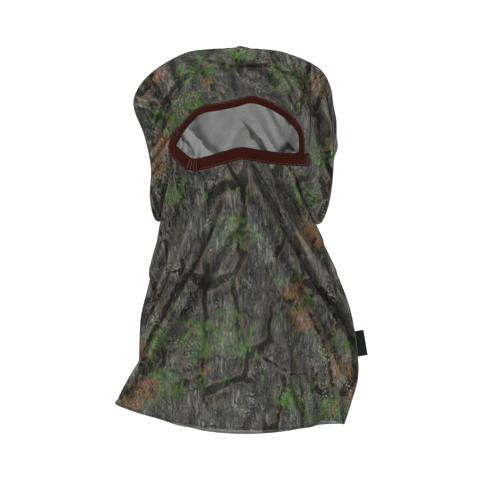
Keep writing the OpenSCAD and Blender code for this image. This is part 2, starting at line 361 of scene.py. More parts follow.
@dataclass
class PanelCut:
    """The flat cut of a panel: straight top, rounded corners, straight sides and a bowed hem."""

    width: float = 310.0
    length: float = 467.0
    back_length: float = 451.0
    side: float = 440.0
    corner: float = 55.0
    step: float = 5.0
    eye_half: float = 84.0
    eye_top: float = 108.0
    eye_corner: float = 152.0
    eye_bottom: float = 165.0
    eye_points: int = 132
    upper_tape: float = 6.5
    lower_tape: float = 12.0
    wrap: int = 6
    ring_count: int = 3
    rim_gap: float = 0.55
    eye_gap: float = 0.6

    @property
    def half(self) -> float:
        """Half of the panel's width."""
        return self.width / 2

    @property
    def crown_half(self) -> float:
        """Half of the straight part of the top."""
        return self.half - self.corner

    @property
    def side_start(self) -> float:
        """Distance along the seam from the middle of the crown, less the depth, on the side."""
        return self.crown_half + self.corner * (math.pi / 2 - 1)

    @property
    def seam_length(self) -> float:
        """Distance along the seam from the middle of the crown to the hem."""
        return self.side_start + self.side

    def seam_point(self, run: np.ndarray, hand: Hand) -> np.ndarray:
        """Flat points along the seam, from the middle of the crown to the hem.

        Args:
            run: distances along the seam.
            hand: which side of the panel.

        Returns:
            One row of across and down for each distance.
        """
        angle = np.clip((run - self.crown_half) / self.corner, 0, math.pi / 2)
        across = np.minimum(run, self.crown_half) + self.corner * np.sin(angle)
        down = self.corner * (1 - np.cos(angle)) + np.maximum(run - self.side_start - self.corner, 0)
        return np.stack([across * hand.value, down], axis=1)

    def hem_point(self, share: np.ndarray, side: Side) -> np.ndarray:
        """Flat points along a panel's hem, from the left corner at 0 to the right corner at 1.

        Args:
            share: places along the hem, from 0 to 1.
            side: which panel.

        Returns:
            One row of across and down for each share.
        """
        across = (share * 2 - 1) * self.half
        bow = (self.panel_length(side) - self.side) * (1 - (across / self.half) ** 2)
        return np.stack([across, self.side + bow], axis=1)

    def row_half(self, down: np.ndarray) -> np.ndarray:
        """Half of the panel's width at a depth below the top."""
        rise = np.clip(self.corner - down, 0, self.corner)
        return self.crown_half + np.sqrt(self.corner ** 2 - rise ** 2)

    def seam_run(self, down: np.ndarray) -> np.ndarray:
        """Distance along the seam at a depth below the top.

        Args:
            down: depths below the top.

        Returns:
            One distance for each depth.
        """
        angle = np.arccos(np.clip(1 - down / self.corner, -1, 1))
        return self.crown_half + self.corner * np.minimum(angle, math.pi / 2) + np.maximum(
            down - self.corner, 0)

    def panel_length(self, side: Side) -> float:
        """Length of a panel at its middle."""
        return self.length if side is Side.FACE else self.back_length

    def outline(self, side: Side) -> np.ndarray:
        """The panel's rim, from the middle of the crown down the left side, along the hem and back.

        Args:
            side: which panel.

        Returns:
            The rim's points, in order.
        """
        count = round(self.seam_length / self.step)
        run = np.linspace(0, self.seam_length, count + 1)
        left = self.seam_point(run, Hand.LEFT)
        right = self.seam_point(run, Hand.RIGHT)[::-1]
        hem = self.hem_point(np.linspace(0, 1, round(self.width / self.step) + 1), side)
        return np.vstack([left, hem[1:-1], right[:-1]])

    def eye_loop(self) -> np.ndarray:
        """The opening's edge, from its left corner over the top and back along the bottom.

        Returns:
            The edge's points, in order.
        """
        turn = np.linspace(0, 2 * math.pi, 4 * self.eye_points + 1)
        lobe = np.abs(np.sin(turn)) ** 0.85 * np.sign(np.sin(turn))
        up, drop = self.eye_corner - self.eye_top, self.eye_bottom - self.eye_corner
        down = self.eye_corner - np.where(lobe > 0, up, drop) * lobe
        chain = np.stack([-self.eye_half * np.cos(turn), down], axis=1)
        return spaced(chain, self.eye_points + 1)[:-1]

    def tape_width(self) -> np.ndarray:
        """Width of the tape at each point of the opening's edge.

        Returns:
            One width for each point.
        """
        index = np.arange(self.eye_points)
        lower = (index > self.eye_points // 2) | (index < self.wrap)
        return blurred(np.where(lower, self.lower_tape, self.upper_tape), 3, closed=True)

    def eye_rings(self) -> np.ndarray:
        """The opening's edge and the lines outside it, out to the tape's outer edge.

        Returns:
            The rings, from the edge outwards.
        """
        loop = self.eye_loop()
        along = unit(np.roll(loop, -1, 0) - np.roll(loop, 1, 0))
        outward = np.stack([along[:, 1], -along[:, 0]], axis=1)
        outward *= np.sign(((loop - loop.mean(0)) * outward).sum())
        for _ in range(4):
            outward = unit(blurred(outward, 1, closed=True))
        share = np.arange(self.ring_count + 1) / self.ring_count
        return loop + outward * self.tape_width()[:, None] * share[:, None, None]

    def pattern(self, side: Side) -> Pattern:
        """Cut the panel into triangles.

        Args:
            side: the face panel has the eye opening, and the back panel has none.

        Returns:
            The flat pattern, with the rim first and the opening's rings next.
        """
        rim = self.outline(side)
        loops = [rim, *(self.eye_rings() if side is Side.FACE else ())]
        rows = np.arange(-self.step, self.length + self.step, self.step * math.sqrt(0.75))
        columns = np.arange(-self.half - self.step, self.half + self.step, self.step)
        grid = np.array([(u + self.step / 2 * (k % 2), v) for k, v in enumerate(rows) for u in columns])
        grid = grid[within(rim, grid) & (gap_to(rim, grid) > self.rim_gap * self.step)]
        if side is Side.FACE:
            grid = grid[~within(loops[-1], grid) & (gap_to(loops[-1], grid) > self.eye_gap * self.step)]
        starts = np.cumsum([0] + [len(loop) for loop in loops])
        edges = [(a + k, a + (k + 1) % len(loop)) for a, loop in zip(starts, loops) for k in range(len(loop))]
        points = np.vstack([*loops, grid])
        _, _, faces, origin, _, _ = delaunay_2d_cdt([Vector(p) for p in points], edges, [], 0, 1e-4)
        source = np.array([olds[0] for olds in origin])
        triangles = source[np.array(faces)]
        middle = points[triangles].mean(axis=1)
        inside = within(rim, middle)
        if side is Side.FACE:
            inside &= ~within(loops[1], middle)
        triangles = triangles[inside]
        a, b, c = (points[triangles[:, k]] for k in range(3))
        turned = (b - a)[:, 0] * (c - a)[:, 1] - (b - a)[:, 1] * (c - a)[:, 0] < 0
        triangles[turned] = triangles[turned][:, ::-1]
        return Pattern(points, triangles, len(rim))


def within(loop: np.ndarray, points: np.ndarray) -> np.ndarray:
    """Which points lie inside a closed loop.

    Args:
        loop: the closed loop.
        points: the points.

    Returns:
        True for each point inside.
    """
    x, y = points[:, 0], points[:, 1]
    inside = np.zeros(len(points), bool)
    for (x0, y0), (x1, y1) in zip(loop, np.roll(loop, -1, 0)):
        if y0 != y1:
            inside ^= ((y0 > y) != (y1 > y)) & (x < (x1 - x0) * (y - y0) / (y1 - y0) + x0)
    return inside


def gap_to(loop: np.ndarray, points: np.ndarray) -> np.ndarray:
    """Distance of each point from a closed loop.

    Args:
        loop: the closed loop.
        points: the points.

    Returns:
        One distance for each point.
    """
    best = np.full(len(points), np.inf)
    for start, end in zip(loop, np.roll(loop, -1, 0)):
        edge = end - start
        share = np.clip((points - start) @ edge / float(edge @ edge), 0, 1)
        best = np.minimum(best, np.linalg.norm(points - start - share[:, None] * edge, axis=1))
    return best


# ---------------------------------------------------------------- where the print falls


@dataclass(frozen=True)
class Sprig:
    """A cluster of leaves on the worn face: its place across and up, and its reach."""

    across: float
    up: float
    reach: float


@dataclass(frozen=True)
class Limb:
    """A dark line across the worn face: its line, and its width. Most are printed limbs; two are painted
    shade along a pleat.
    """

    line: Sequence[tuple[float, float]]
    width: float


@dataclass
class PrintPlan:
    """Where leaf clusters and dark lines fall on the worn panels, in the front view: printed limbs, and two
    lines of painted shade along a pleat at the top left of the crown.
    """

    green: Sequence[Sprig] = (
        Sprig(-10, -8, 20), Sprig(-42, -20, 20), Sprig(-64, -32, 15), Sprig(-58, -64, 22),
        Sprig(-76, -78, 18), Sprig(48, -34, 20), Sprig(88, -112, 20), Sprig(-5, -200, 24),
        Sprig(-50, -312, 30), Sprig(-15, -306, 28), Sprig(-88, -312, 20), Sprig(-80, -364, 24),
        Sprig(57, -379, 26), Sprig(106, -386, 22), Sprig(85, -402, 18), Sprig(-104, -334, 16),
        Sprig(121, -324, 16), Sprig(92, -330, 14), Sprig(70, -160, 16), Sprig(-70, -160, 16))
    autumn: Sequence[Sprig] = (
        Sprig(-92, -30, 17), Sprig(-104, -48, 15), Sprig(-36, -38, 7), Sprig(-87, -104, 17),
        Sprig(-90, -128, 15), Sprig(84, -42, 21), Sprig(76, -200, 24), Sprig(56, -262, 18),
        Sprig(66, -292, 20), Sprig(110, -344, 20), Sprig(119, -372, 17), Sprig(-109, -326, 14),
        Sprig(-106, -364, 18), Sprig(-37, -347, 8), Sprig(-118, -384, 14))
    limbs: Sequence[Limb] = (
        Limb(((70, -252), (90, -266), (104, -279), (116, -302), (123, -328), (124, -356), (110, -372)), 10),
        # A dark band down the lower left.
        Limb(((-58, -244), (-75, -272), (-90, -299), (-102, -321), (-107, -350)), 7),
        # Painted shade: this line and the next follow a pleat at the top left of the crown.
        Limb(((-56, -30), (-70, -42), (-82, -58), (-91, -78), (-97, -94), (-94, -104)), 6),
        Limb(((-62, -40), (-74, -54), (-82, -72), (-84, -88)), 4),
        Limb(((97, -28), (88, -48), (80, -66)), 6),
        Limb(((72, -284), (84, -306), (93, -330), (100, -379)), 4),
        Limb(((-40, -14), (-8, -22), (30, -20), (66, -34)), 4),
        Limb(((-98, -150), (-88, -178), (-84, -186)), 6), Limb(((86, -140), (92, -168), (84, -184)), 7),
        Limb(((-104, -240), (-92, -262), (-98, -300)), 4), Limb(((20, -330), (52, -350), (96, -352)), 3))

    def sprig_mask(self, spots: np.ndarray, sprigs: Sequence[Sprig]) -> np.ndarray:
        """How deep in a cluster each place lies, from 0 to 1.

        Args:
            spots: places across and up.
            sprigs: the clusters.

        Returns:
            One value for each place.
        """
        mask = np.zeros(len(spots))
        for sprig in sprigs:
            gap = np.hypot((spots[:, 0] - sprig.across) / 1.15, spots[:, 1] - sprig.up) / sprig.reach
            mask = np.maximum(mask, np.clip(1 - gap, 0, 1) ** 0.7)
        return mask

    def limb_gap(self, spots: np.ndarray) -> np.ndarray:
        """Distance of each place from the edge of the nearest listed dark line, printed limb and painted
        pleat shade alike, in millimetres.

        Args:
            spots: places across and up.

        Returns:
            One distance for each place, negative inside a line.
        """
        best = np.full(len(spots), 50.0)
        for limb in self.limbs:
            for start, end in zip(np.array(limb.line, float)[:-1], np.array(limb.line, float)[1:]):
                edge = end - start
                share = np.clip((spots - start) @ edge / float(edge @ edge), 0, 1)
                gap = np.linalg.norm(spots - start - share[:, None] * edge, axis=1)
                best = np.minimum(best, gap - limb.width / 2)
        return best

    def marks(self, solid: np.ndarray, side: Side) -> dict[str, np.ndarray]:
        """Attributes of the print, and of the painted pleat shade, for a panel's points.

        Args:
            solid: the panel's worn points.
            side: which panel; the back panel carries the pattern turned round.

        Returns:
            One value for each point, by attribute name.
        """
        spots = solid[:, (0, 2)] * (1.0 if side is Side.FACE else -1.0, 1.0)
        return {"green": self.sprig_mask(spots, self.green), "autumn": self.sprig_mask(spots, self.autumn),
                "limb": self.limb_gap(spots)}


# ---------------------------------------------------------------- the worn shape


@dataclass
class WornSeam:
    """Where the crown and side seams hang: distance along the seam, then the worn place."""

    left: Knots = ((0, -8, 0, -0.8), (26, -34, 0, -1.6), (55, -61, 0, -6), (105, -100, 0, -30),
                   (140, -116, 0, -58), (185, -104, 2, -95), (230, -97, 5, -130), (275, -98, 6, -165),
                   (300, -90, 6, -188), (325, -70, 8, -172), (350, -84, 6, -196), (385, -92, 3, -225),
                   (425, -100, 2, -258), (465, -108, 0, -292), (515, -110, 0, -338), (535, -113, 0, -358),
                   (571, -137, 0, -384))
    right: Knots = ((0, -8, 0, -0.8), (26, 18, 0, -1.4), (55, 46, 0, -5), (100, 84, 0, -22),
                    (130, 97, 0, -44), (160, 99, 0, -72), (205, 100, 3, -113), (245, 98, 6, -150),
                    (275, 92, 6, -178), (292, 83, 6, -191), (316, 66, 8, -174), (340, 80, 6, -194),
                    (365, 90, 4, -215), (405, 106, 2, -250), (445, 118, 0, -284), (490, 125, 0, -325),
                    (525, 126, 0, -357), (546, 119, -2, -382), (571, 111, -4, -407))

    def at(self, run: np.ndarray, hand: np.ndarray) -> np.ndarray:
        """Worn places along the seam.

        Args:
            run: distances from the middle of the crown.
            hand: the sign of the side for each distance.

        Returns:
            One worn place for each distance.
        """
        return np.where((hand < 0)[:, None], smooth(self.left, run), smooth(self.right, run))


@dataclass
class WornEye:
    """The worn edge of the eye opening in the front view, across and up, and the head's depth there."""

    top: Knots = ((-70, -107.5), (-65.5, -96.6), (-56.4, -84.4), (-43, -73), (-24.4, -69.4),
                  (-5.8, -65.9), (10.5, -61.7), (25, -65.3), (38, -71.6), (48, -78.4), (56, -86.4),
                  (61.5, -94.5), (63, -114.8))
    low: Knots = ((-70, -107.5), (-61.6, -115.1), (-51.3, -122.3), (-36.8, -120.3), (-20.3, -115.6),
                  (0.4, -110.8), (17, -113), (40, -116.2), (54, -116.6), (63, -114.8))
    depth_by_height: Knots = ((-190, 104), (-140, 104), (-112, 103), (-90, 100), (-60, 97), (-30, 84))
    head_half: float = 92.0
    nose: float = 3.0

    def depth(self, across: np.ndarray, up: np.ndarray) -> np.ndarray:
        """Y of the face cloth at a place in the front view.

        Args:
            across: places across.
            up: places up.

        Returns:
            One Y for each place.
        """
        table = np.asarray(self.depth_by_height)
        reach = np.interp(up, table[:, 0], table[:, 1])
        bow = np.sqrt(np.clip(1 - (across / self.head_half) ** 2, 0, 1))
        bridge = self.nose * np.exp(-(across / 12) ** 2) * np.clip((-95 - up) / 10, 0, 1)
        return -reach * bow - bridge

    def edge(self, path: Knots, count: int) -> np.ndarray:
        """Even points on one edge of the opening, both corners included.

        Args:
            path: the edge, across and up.
            count: number of steps along it.

        Returns:
            The worn places, one more than the steps.
        """
        flat = np.asarray(path, float)
        run = run_along(flat)
        fine = smooth(np.c_[run, flat], np.linspace(0, run[-1], 400))
        solid = np.stack([fine[:, 0], self.depth(fine[:, 0], fine[:, 1]), fine[:, 1]], axis=1)
        return spaced(solid, count + 1)

    def loop(self, count: int) -> np.ndarray:
        """Worn places of the opening's edge, in the order of the flat loop.

        Args:
            count: number of points round the opening.

        Returns:
            One worn place for each point.
        """
        half = count // 2
        top = self.edge(self.top, half)
        low = self.edge(self.low, count - half)
        return np.vstack([top[:-1], low[::-1][:-1]])

    def outward(self, loop: np.ndarray) -> tuple[np.ndarray, np.ndarray]:
        """Directions from the opening's edge into the cloth, and away from the head.

        Args:
            loop: worn places of the opening's edge.

        Returns:
            Unit rows into the cloth, and unit rows off the head.
        """
        along = unit(np.roll(loop, -1, 0) - np.roll(loop, 1, 0))
        lean = np.full(len(loop), 0.15 / 90)
        off = unit(np.stack([loop[:, 0] / 88 ** 2, loop[:, 1] / 100 ** 2, lean], axis=1))
        into = np.cross(off, along)
        into *= np.sign((into * (loop - loop.mean(0))).sum())
        for _ in range(4):
            into = unit(blurred(into, 1, closed=True))
        off = unit(off - into * (off * into).sum(axis=1)[:, None])
        return into, off


@dataclass
class DressForm:
    """Plain padded head and shoulders under the cloth, taken away after the drape."""

    head: Sequence[tuple[tuple[float, float, float], tuple[float, float, float]]] = (
        ((0, 4, -90), (74, 94, 87)), ((0, -30, -132), (57, 62, 70)), ((0, -90, -124), (12, 20, 24)),
        ((0, -76, -182), (24, 20, 17)), ((-75, 12, -112), (8, 17, 28)), ((75, 12, -112), (8, 17, 28)),
        ((-38, -62, -130), (20, 22, 22)), ((38, -62, -130), (20, 22, 22)))
    chest: Sequence[tuple[tuple[float, float, float], tuple[float, float, float]]] = (
        ((0, 4, -350), (80, 62, 82)), ((0, 4, -395), (80, 62, 60)))
    neck: tuple[float, float, float] = (0, 14, -250)
    neck_length: float = 160
    neck_radius: tuple[float, float] = (58.0, 50.0)
    voxel: float = 5.0

    def build(self) -> bpy.types.Object:
        """Make the form as one smooth closed skin.

        Returns:
            The form.
        """
        work = bmesh.new()
        for middle, radii in (*self.head, *self.chest):
            place = Matrix.Translation(Vector(middle) * MM) @ Matrix.Diagonal((*(Vector(radii) * MM), 1))
            bmesh.ops.create_uvsphere(work, u_segments=32, v_segments=16, radius=1, matrix=place)
        place = Matrix.Translation(Vector(self.neck) * MM)
        bmesh.ops.create_cone(work, cap_ends=True, segments=32, radius1=self.neck_radius[0] * MM,
                              radius2=self.neck_radius[1] * MM, depth=self.neck_length * MM, matrix=place)
        form = linked("dress_form", mesh_from(work, "dress_form"))
        skin = form.modifiers.new("skin", "REMESH")
        skin.mode = "VOXEL"
        skin.voxel_size = self.voxel * MM
        soften = form.modifiers.new("soften", "SMOOTH")
        soften.iterations = 8
        graph = bpy.context.evaluated_depsgraph_get()
        form.data = bpy.data.meshes.new_from_object(form.evaluated_get(graph))
        form.modifiers.clear()
        return form


@dataclass(frozen=True)
class MeshCloth:
    """How the mesh cloth stretches, bends and comes to rest, by the names of the simulation's settings."""

    quality: int = 6
    mass: float = 0.04
    pin_stiffness: float = 20.0
    tension_stiffness: float = 30.0
    compression_stiffness: float = 30.0
    shear_stiffness: float = 10.0
    bending_stiffness: float = 0.1
    tension_damping: float = 5.0
    compression_damping: float = 5.0
    shear_damping: float = 5.0
    bending_damping: float = 0.5
    air_damping: float = 1.0

    def dress(self, settings: bpy.types.ClothSettings) -> None:
        """Give a simulation these values."""
        for name, value in asdict(self).items():
            setattr(settings, name, value)


@dataclass
class Drape:
    """The two panels, sewn into a bag and hung over the dress form."""

    cut: PanelCut
    seam: WornSeam = field(default_factory=WornSeam)
    eye: WornEye = field(default_factory=WornEye)
    form: DressForm = field(default_factory=DressForm)
    cloth: MeshCloth = field(default_factory=MeshCloth)
    face_path: Knots = ((0, 0, 0), (40, -40, -5), (80, -74, -25), (108, -92, -56), (165, -104, -109),
                        (200, -120, -137), (225, -108, -160), (252, -104, -186), (300, -98, -236),
                        (380, -92, -316), (470, -88, -408))
    back_path: Knots = ((0, 0, 0), (50, 50, -6), (95, 84, -30), (145, 102, -75), (190, 103, -120),
                        (245, 96, -170), (300, 86, -222), (380, 80, -300), (470, 78, -388))
    crown_shift: float = -8.0
    frames: int = 44
    clear: float = 2.5
    touch: float = 2.0
    eye_pull: float = 14.0
    eye_reach: float = 70.0
    crown_reach: float = 25.0
    patterns: dict[Side, Pattern] = field(default_factory=dict)
    worn: dict[Side, np.ndarray] = field(default_factory=dict)
    surfaces: dict[Side, "Surface"] = field(default_factory=dict)

    def place(self, flat: np.ndarray, side: Side) -> np.ndarray:
        """Worn places of a panel's flat points before they settle.

        Args:
            flat: points across and down.
            side: which panel.

        Returns:
            One worn place for each point.
        """
        across, down = flat[:, 0], flat[:, 1]
        rows = np.minimum(down, self.cut.side)
        middle = smooth(self.face_path if side is Side.FACE else self.back_path, down)
        share = np.clip(np.abs(across) / self.cut.row_half(rows), 0, 1)
        seam = self.seam.at(self.cut.seam_run(rows), across)
        over = np.clip(down - self.cut.side, 0, None)
        seam[:, 2] -= over
        centre = self.crown_shift * np.clip(1 - down / 150, 0, 1)
        wide, bow = np.sin(share * math.pi / 2), 1 - np.cos(share * math.pi / 2)
        placed = np.stack([centre + (seam[:, 0] - centre) * wide,
                           middle[:, 0] * (1 - bow) + seam[:, 1] * bow,
                           middle[:, 1] + (seam[:, 2] - middle[:, 1]) * bow], axis=1)
        crown = self.seam.at(share * self.cut.crown_half, across)
        first = self.seam.at(np.full(len(flat), self.cut.crown_half), across)
        start = np.stack([self.crown_shift + (first[:, 0] - self.crown_shift) * wide,
                          first[:, 1] * bow, first[:, 2] * bow], axis=1)
        return placed + (crown - start) * np.exp(-(down / self.crown_reach) ** 2)[:, None]

    def start_face(self, pattern: Pattern) -> np.ndarray:
        """Starting places of the face panel, with the opening's rings where the tapes hold them.

        Args:
            pattern: the face panel's flat pattern.

        Returns:
            One place for each of its points.
        """
        flat = pattern.points
        placed = self.place(flat, Side.FACE)
        rings = self.cut.eye_rings()
        loop = self.eye.loop(self.cut.eye_points)
        into, _ = self.eye.outward(loop)
        reach = np.linalg.norm(rings - rings[0], axis=2)
        held = (loop + into * reach[:, :, None]).reshape(-1, 3)
        first, last = pattern.rim, pattern.rim + len(held)
        outer = slice(last - self.cut.eye_points, last)
        moved = held[-self.cut.eye_points:] - placed[outer]
        placed[first:last] = held
        gap = np.linalg.norm(flat[last:, None] - flat[None, outer], axis=2)
        weight = np.exp(-gap ** 2 / (2 * self.eye_pull ** 2))
        pull = weight @ moved / np.maximum(weight.sum(axis=1), 1e-12)[:, None]
        placed[last:] += pull * (np.clip(1 - gap.min(axis=1) / self.eye_reach, 0, 1) ** 1.5)[:, None]
        return placed

    def pin_weights(self, pattern: Pattern) -> dict[int, float]:
        """How firmly each point of the rim and of the opening's rings is held.

        Args:
            pattern: the face panel's flat pattern.

        Returns:
            Weights by point; a point that is left out is free.
        """
        rings = (self.cut.ring_count + 1) * self.cut.eye_points
        weights = {k: 1.0 for k in range(pattern.rim, pattern.rim + rings)}
        for k, (across, down) in enumerate(pattern.points[:pattern.rim]):
            if down < self.cut.side + 0.05 and abs(across) >= self.cut.row_half(down) - 0.6 or down < 0.05:
                weights[k] = 1.0
        return weights

    def settle(self) -> None:
        """Sew the panels together and let them settle on the form."""
        face = self.patterns[Side.FACE] = self.cut.pattern(Side.FACE)
        back = self.patterns[Side.BACK] = self.cut.pattern(Side.BACK)
        hem = face.points[:face.rim, 1] > self.cut.side + 0.05
        own = np.r_[np.flatnonzero(hem), np.arange(back.rim, len(back.points))]
        shared = np.full(len(back.points), -1)
        shared[np.flatnonzero(~hem)] = np.flatnonzero(~hem)
        shared[own] = len(face.points) + np.arange(len(own))
        placed = np.vstack([self.start_face(face), self.place(back.points, Side.BACK)[own]])
        flat = np.vstack([face.points, back.points[own]])
        triangles = np.vstack([face.triangles, shared[back.triangles][:, ::-1]])
        weights = self.pin_weights(face)
        form = self.form.build()
        self.clear_of(form, placed, set(weights))
        placed = self.simulate(form, placed, flat, triangles, weights)
        bpy.data.objects.remove(form)
        self.worn = {Side.FACE: placed[:len(face.points)], Side.BACK: placed[shared]}
        for side, pattern in self.patterns.items():
            self.surfaces[side] = Surface.smoothed(pattern, self.worn[side], side)

    def clear_of(self, form: bpy.types.Object, placed: np.ndarray, held: set[int]) -> None:
        """Push loose starting points out of the form.

        Args:
            form: the dress form.
            placed: starting places, which are changed.
            held: points that stay.
        """
        skin = BVHTree.FromPolygons([v.co for v in form.data.vertices],
                                    [tuple(p.vertices) for p in form.data.polygons])
        for k, point in enumerate(placed):
            spot = Vector(point) * MM
            near, off, _, _ = skin.find_nearest(spot)
            if k not in held and (spot - near).dot(off) < self.clear * MM:
                placed[k] = (near + off * self.clear * MM) / MM

    def simulate(self, form: bpy.types.Object, placed: np.ndarray, flat: np.ndarray,
                 triangles: np.ndarray, weights: dict[int, float]) -> np.ndarray:
        """Cloth simulation from the starting places, at the size of the flat cut.

        Args:
            form: the dress form.
            placed: starting places.
            flat: places on the flat cut, which set every length in the cloth.
            triangles: the sewn bag's triangles.
            weights: how firmly points are held.

        Returns:
            The settled places.
        """
        mesh = bpy.data.meshes.new("bag")
        mesh.from_pydata((placed * MM).tolist(), [], triangles.tolist())
        bag = linked("bag", mesh)
        bag.shape_key_add(name="worn")
        rest = bag.shape_key_add(name="cut")
        lay = np.stack([flat[:, 0], np.zeros(len(flat)), -flat[:, 1]], axis=1) * MM
        rest.data.foreach_set("co", lay.ravel())
        rest.value = 0
        pins = bag.vertex_groups.new(name="pins")
        for k, weight in weights.items():
            pins.add([k], weight, "REPLACE")
        form.modifiers.new("touch", "COLLISION")
        form.collision.thickness_outer = self.touch * MM
        form.collision.cloth_friction = 25
        seal = bag.modifiers.new("seal", "WELD")
        seal.merge_threshold = 1e-7
        cloth = bag.modifiers.new("drape", "CLOTH")
        fabric = cloth.settings
        fabric.rest_shape_key = rest
        fabric.vertex_group_mass = pins.name
        self.cloth.dress(fabric)
        cloth.collision_settings.distance_min = self.touch * MM
        cloth.collision_settings.collision_quality = 2
        cloth.point_cache.frame_start = 1
        cloth.point_cache.frame_end = self.frames
        for step in range(1, self.frames + 1):
            bpy.context.scene.frame_set(step)
        settled = bag.evaluated_get(bpy.context.evaluated_depsgraph_get()).data
        out = read_values(settled.vertices, "co", 3) / MM
        bpy.data.objects.remove(bag)
        bpy.context.scene.frame_set(1)
        log.info("drape: %d points, hem at %.0f mm", len(out), out[:, 2].min())
        return out.astype(float)


@dataclass
class Surface:
    """One draped panel as a smooth mesh, with the way from a flat place to the worn one."""

    mesh: bpy.types.Mesh
    flat_tree: BVHTree
    solid_tree: BVHTree
    flat: np.ndarray
    solid: np.ndarray
    normals: np.ndarray
    faces: list[tuple[int, ...]]

    @classmethod
    def smoothed(cls, pattern: Pattern, worn: np.ndarray, side: Side) -> "Surface":
        """Smooth a settled panel once and keep its cut as a UV map.

        Args:
            pattern: the flat panel.
            worn: its settled places.
            side: which panel, for the way its faces point.

        Returns:
            The panel's surface.
        """
        triangles = pattern.triangles[:, ::-1] if side is Side.FACE else pattern.triangles
        mesh = bpy.data.meshes.new("panel")
        mesh.from_pydata((worn * MM).tolist(), [], triangles.tolist())
        cut_map = mesh.uv_layers.new(name="cut")
        corners = read_values(mesh.loops, "vertex_index", 1)[:, 0]
        cut_map.data.foreach_set("uv", (pattern.points[corners] * (MM, -MM)).ravel())
        holder = subdivided(linked("panel", mesh))
        graph = bpy.context.evaluated_depsgraph_get()
        fine = bpy.data.meshes.new_from_object(holder.evaluated_get(graph))
        bpy.data.objects.remove(holder)
        solid, normals = (read_values(fine.vertices, what, 3) for what in ("co", "normal"))
        corners = read_values(fine.loops, "vertex_index", 1)[:, 0]
        flat = np.zeros((len(fine.vertices), 2))
        flat[corners] = read_values(fine.uv_layers["cut"].data, "uv", 2) / (MM, -MM)
        faces = [tuple(face.vertices) for face in fine.polygons]
        marks = PrintPlan().marks(solid / MM, side)
        # Crease depth, which the cloth finish turns into painted shade in fold valleys and painted highlight
        # on ridges.
        marks["crease"] = valleys(fine, solid, normals)
        for name, values in marks.items():
            fine.attributes.new(name, "FLOAT", "POINT").data.foreach_set("value", values.astype(np.float32))
        flat_tree = BVHTree.FromPolygons([Vector((*p, 0)) for p in flat], faces)
        solid_tree = BVHTree.FromPolygons([v.co for v in fine.vertices], faces)
        return cls(fine, flat_tree, solid_tree, flat, solid / MM, normals, faces)

    def lift(self, flat: np.ndarray, height: float | np.ndarray = 0.0) -> tuple[np.ndarray, np.ndarray]:
        """Worn places and outward directions of flat places.

        Args:
            flat: points across and down.
            height: how far off the cloth, one for all or one for each.

        Returns:
            The worn places, and the unit directions off the cloth.
        """
        spots, offs = [], []
        for point in flat:
            near, _, face, _ = self.flat_tree.find_nearest(Vector((*point, 0)))
            ring = list(self.faces[face])
            share = 1 / (np.linalg.norm(self.flat[ring] - np.array(near)[:2], axis=1) ** 2 + 1e-4)
            share = corner_shares(self.flat[ring], np.array(near)[:2], share)
            spots.append(share @ self.solid[ring])
            offs.append(share @ self.normals[ring])
        off = unit(np.array(offs))
        return np.array(spots) + off * np.reshape(height, (-1, 1)), off

    def rest(self, solid: np.ndarray, height: float = 0.0) -> tuple[np.ndarray, np.ndarray]:
        """Nearest places on the worn cloth, and the unit directions off it.

        Args:
            solid: places near the cloth.
            height: how far off the cloth.

        Returns:
            The places, and the directions.
        """
        spots, offs = [], []
        for point in solid:
            near, off, _, _ = self.solid_tree.find_nearest(Vector(point) * MM)
            spots.append(np.array(near) / MM)
            offs.append(np.array(off))
        off = unit(np.array(offs))
        return np.array(spots) + off * height, off


def valleys(mesh: bpy.types.Mesh, solid: np.ndarray, normals: np.ndarray, passes: int = 24) -> np.ndarray:
    """How far each point lies below the cloth round it, in millimetres.

    Args:
        mesh: the panel.
        solid: its points in metres.
        normals: their outward directions.
        passes: how widely the surroundings are averaged.

    Returns:
        One depth for each point, positive in a valley and negative on a ridge.
    """
    ends = read_values(mesh.edges, "vertices", 2)
    ends = np.r_[ends, ends[:, ::-1]]
    count = np.maximum(np.bincount(ends[:, 0], minlength=len(solid)), 1)[:, None]
    around = solid.astype(float)
    for _ in range(passes):
        sums = [np.bincount(ends[:, 0], around[ends[:, 1], k], len(solid)) for k in range(3)]
        total = np.stack(sums, axis=1)
        around = (around + total / count) / 2
    return (((around - solid) * normals).sum(axis=1) / MM).astype(np.float32)


def corner_shares(ring: np.ndarray, spot: np.ndarray, guess: np.ndarray) -> np.ndarray:
    """Shares of a face's corners that add up to a place inside it.

    Args:
        ring: the face's corners on the flat.
        spot: the place.
        guess: rough shares, kept as closely as the place allows.

    Returns:
        Shares that add up to one and give the place.
    """
    guess = guess / guess.sum()
    system = np.vstack([ring.T, np.ones(len(ring))])
    miss = np.r_[spot, 1.0] - system @ guess
    return guess + np.linalg.lstsq(system, miss, rcond=None)[0]


# ---------------------------------------------------------------- finishes

Colour = tuple[float, float, float]


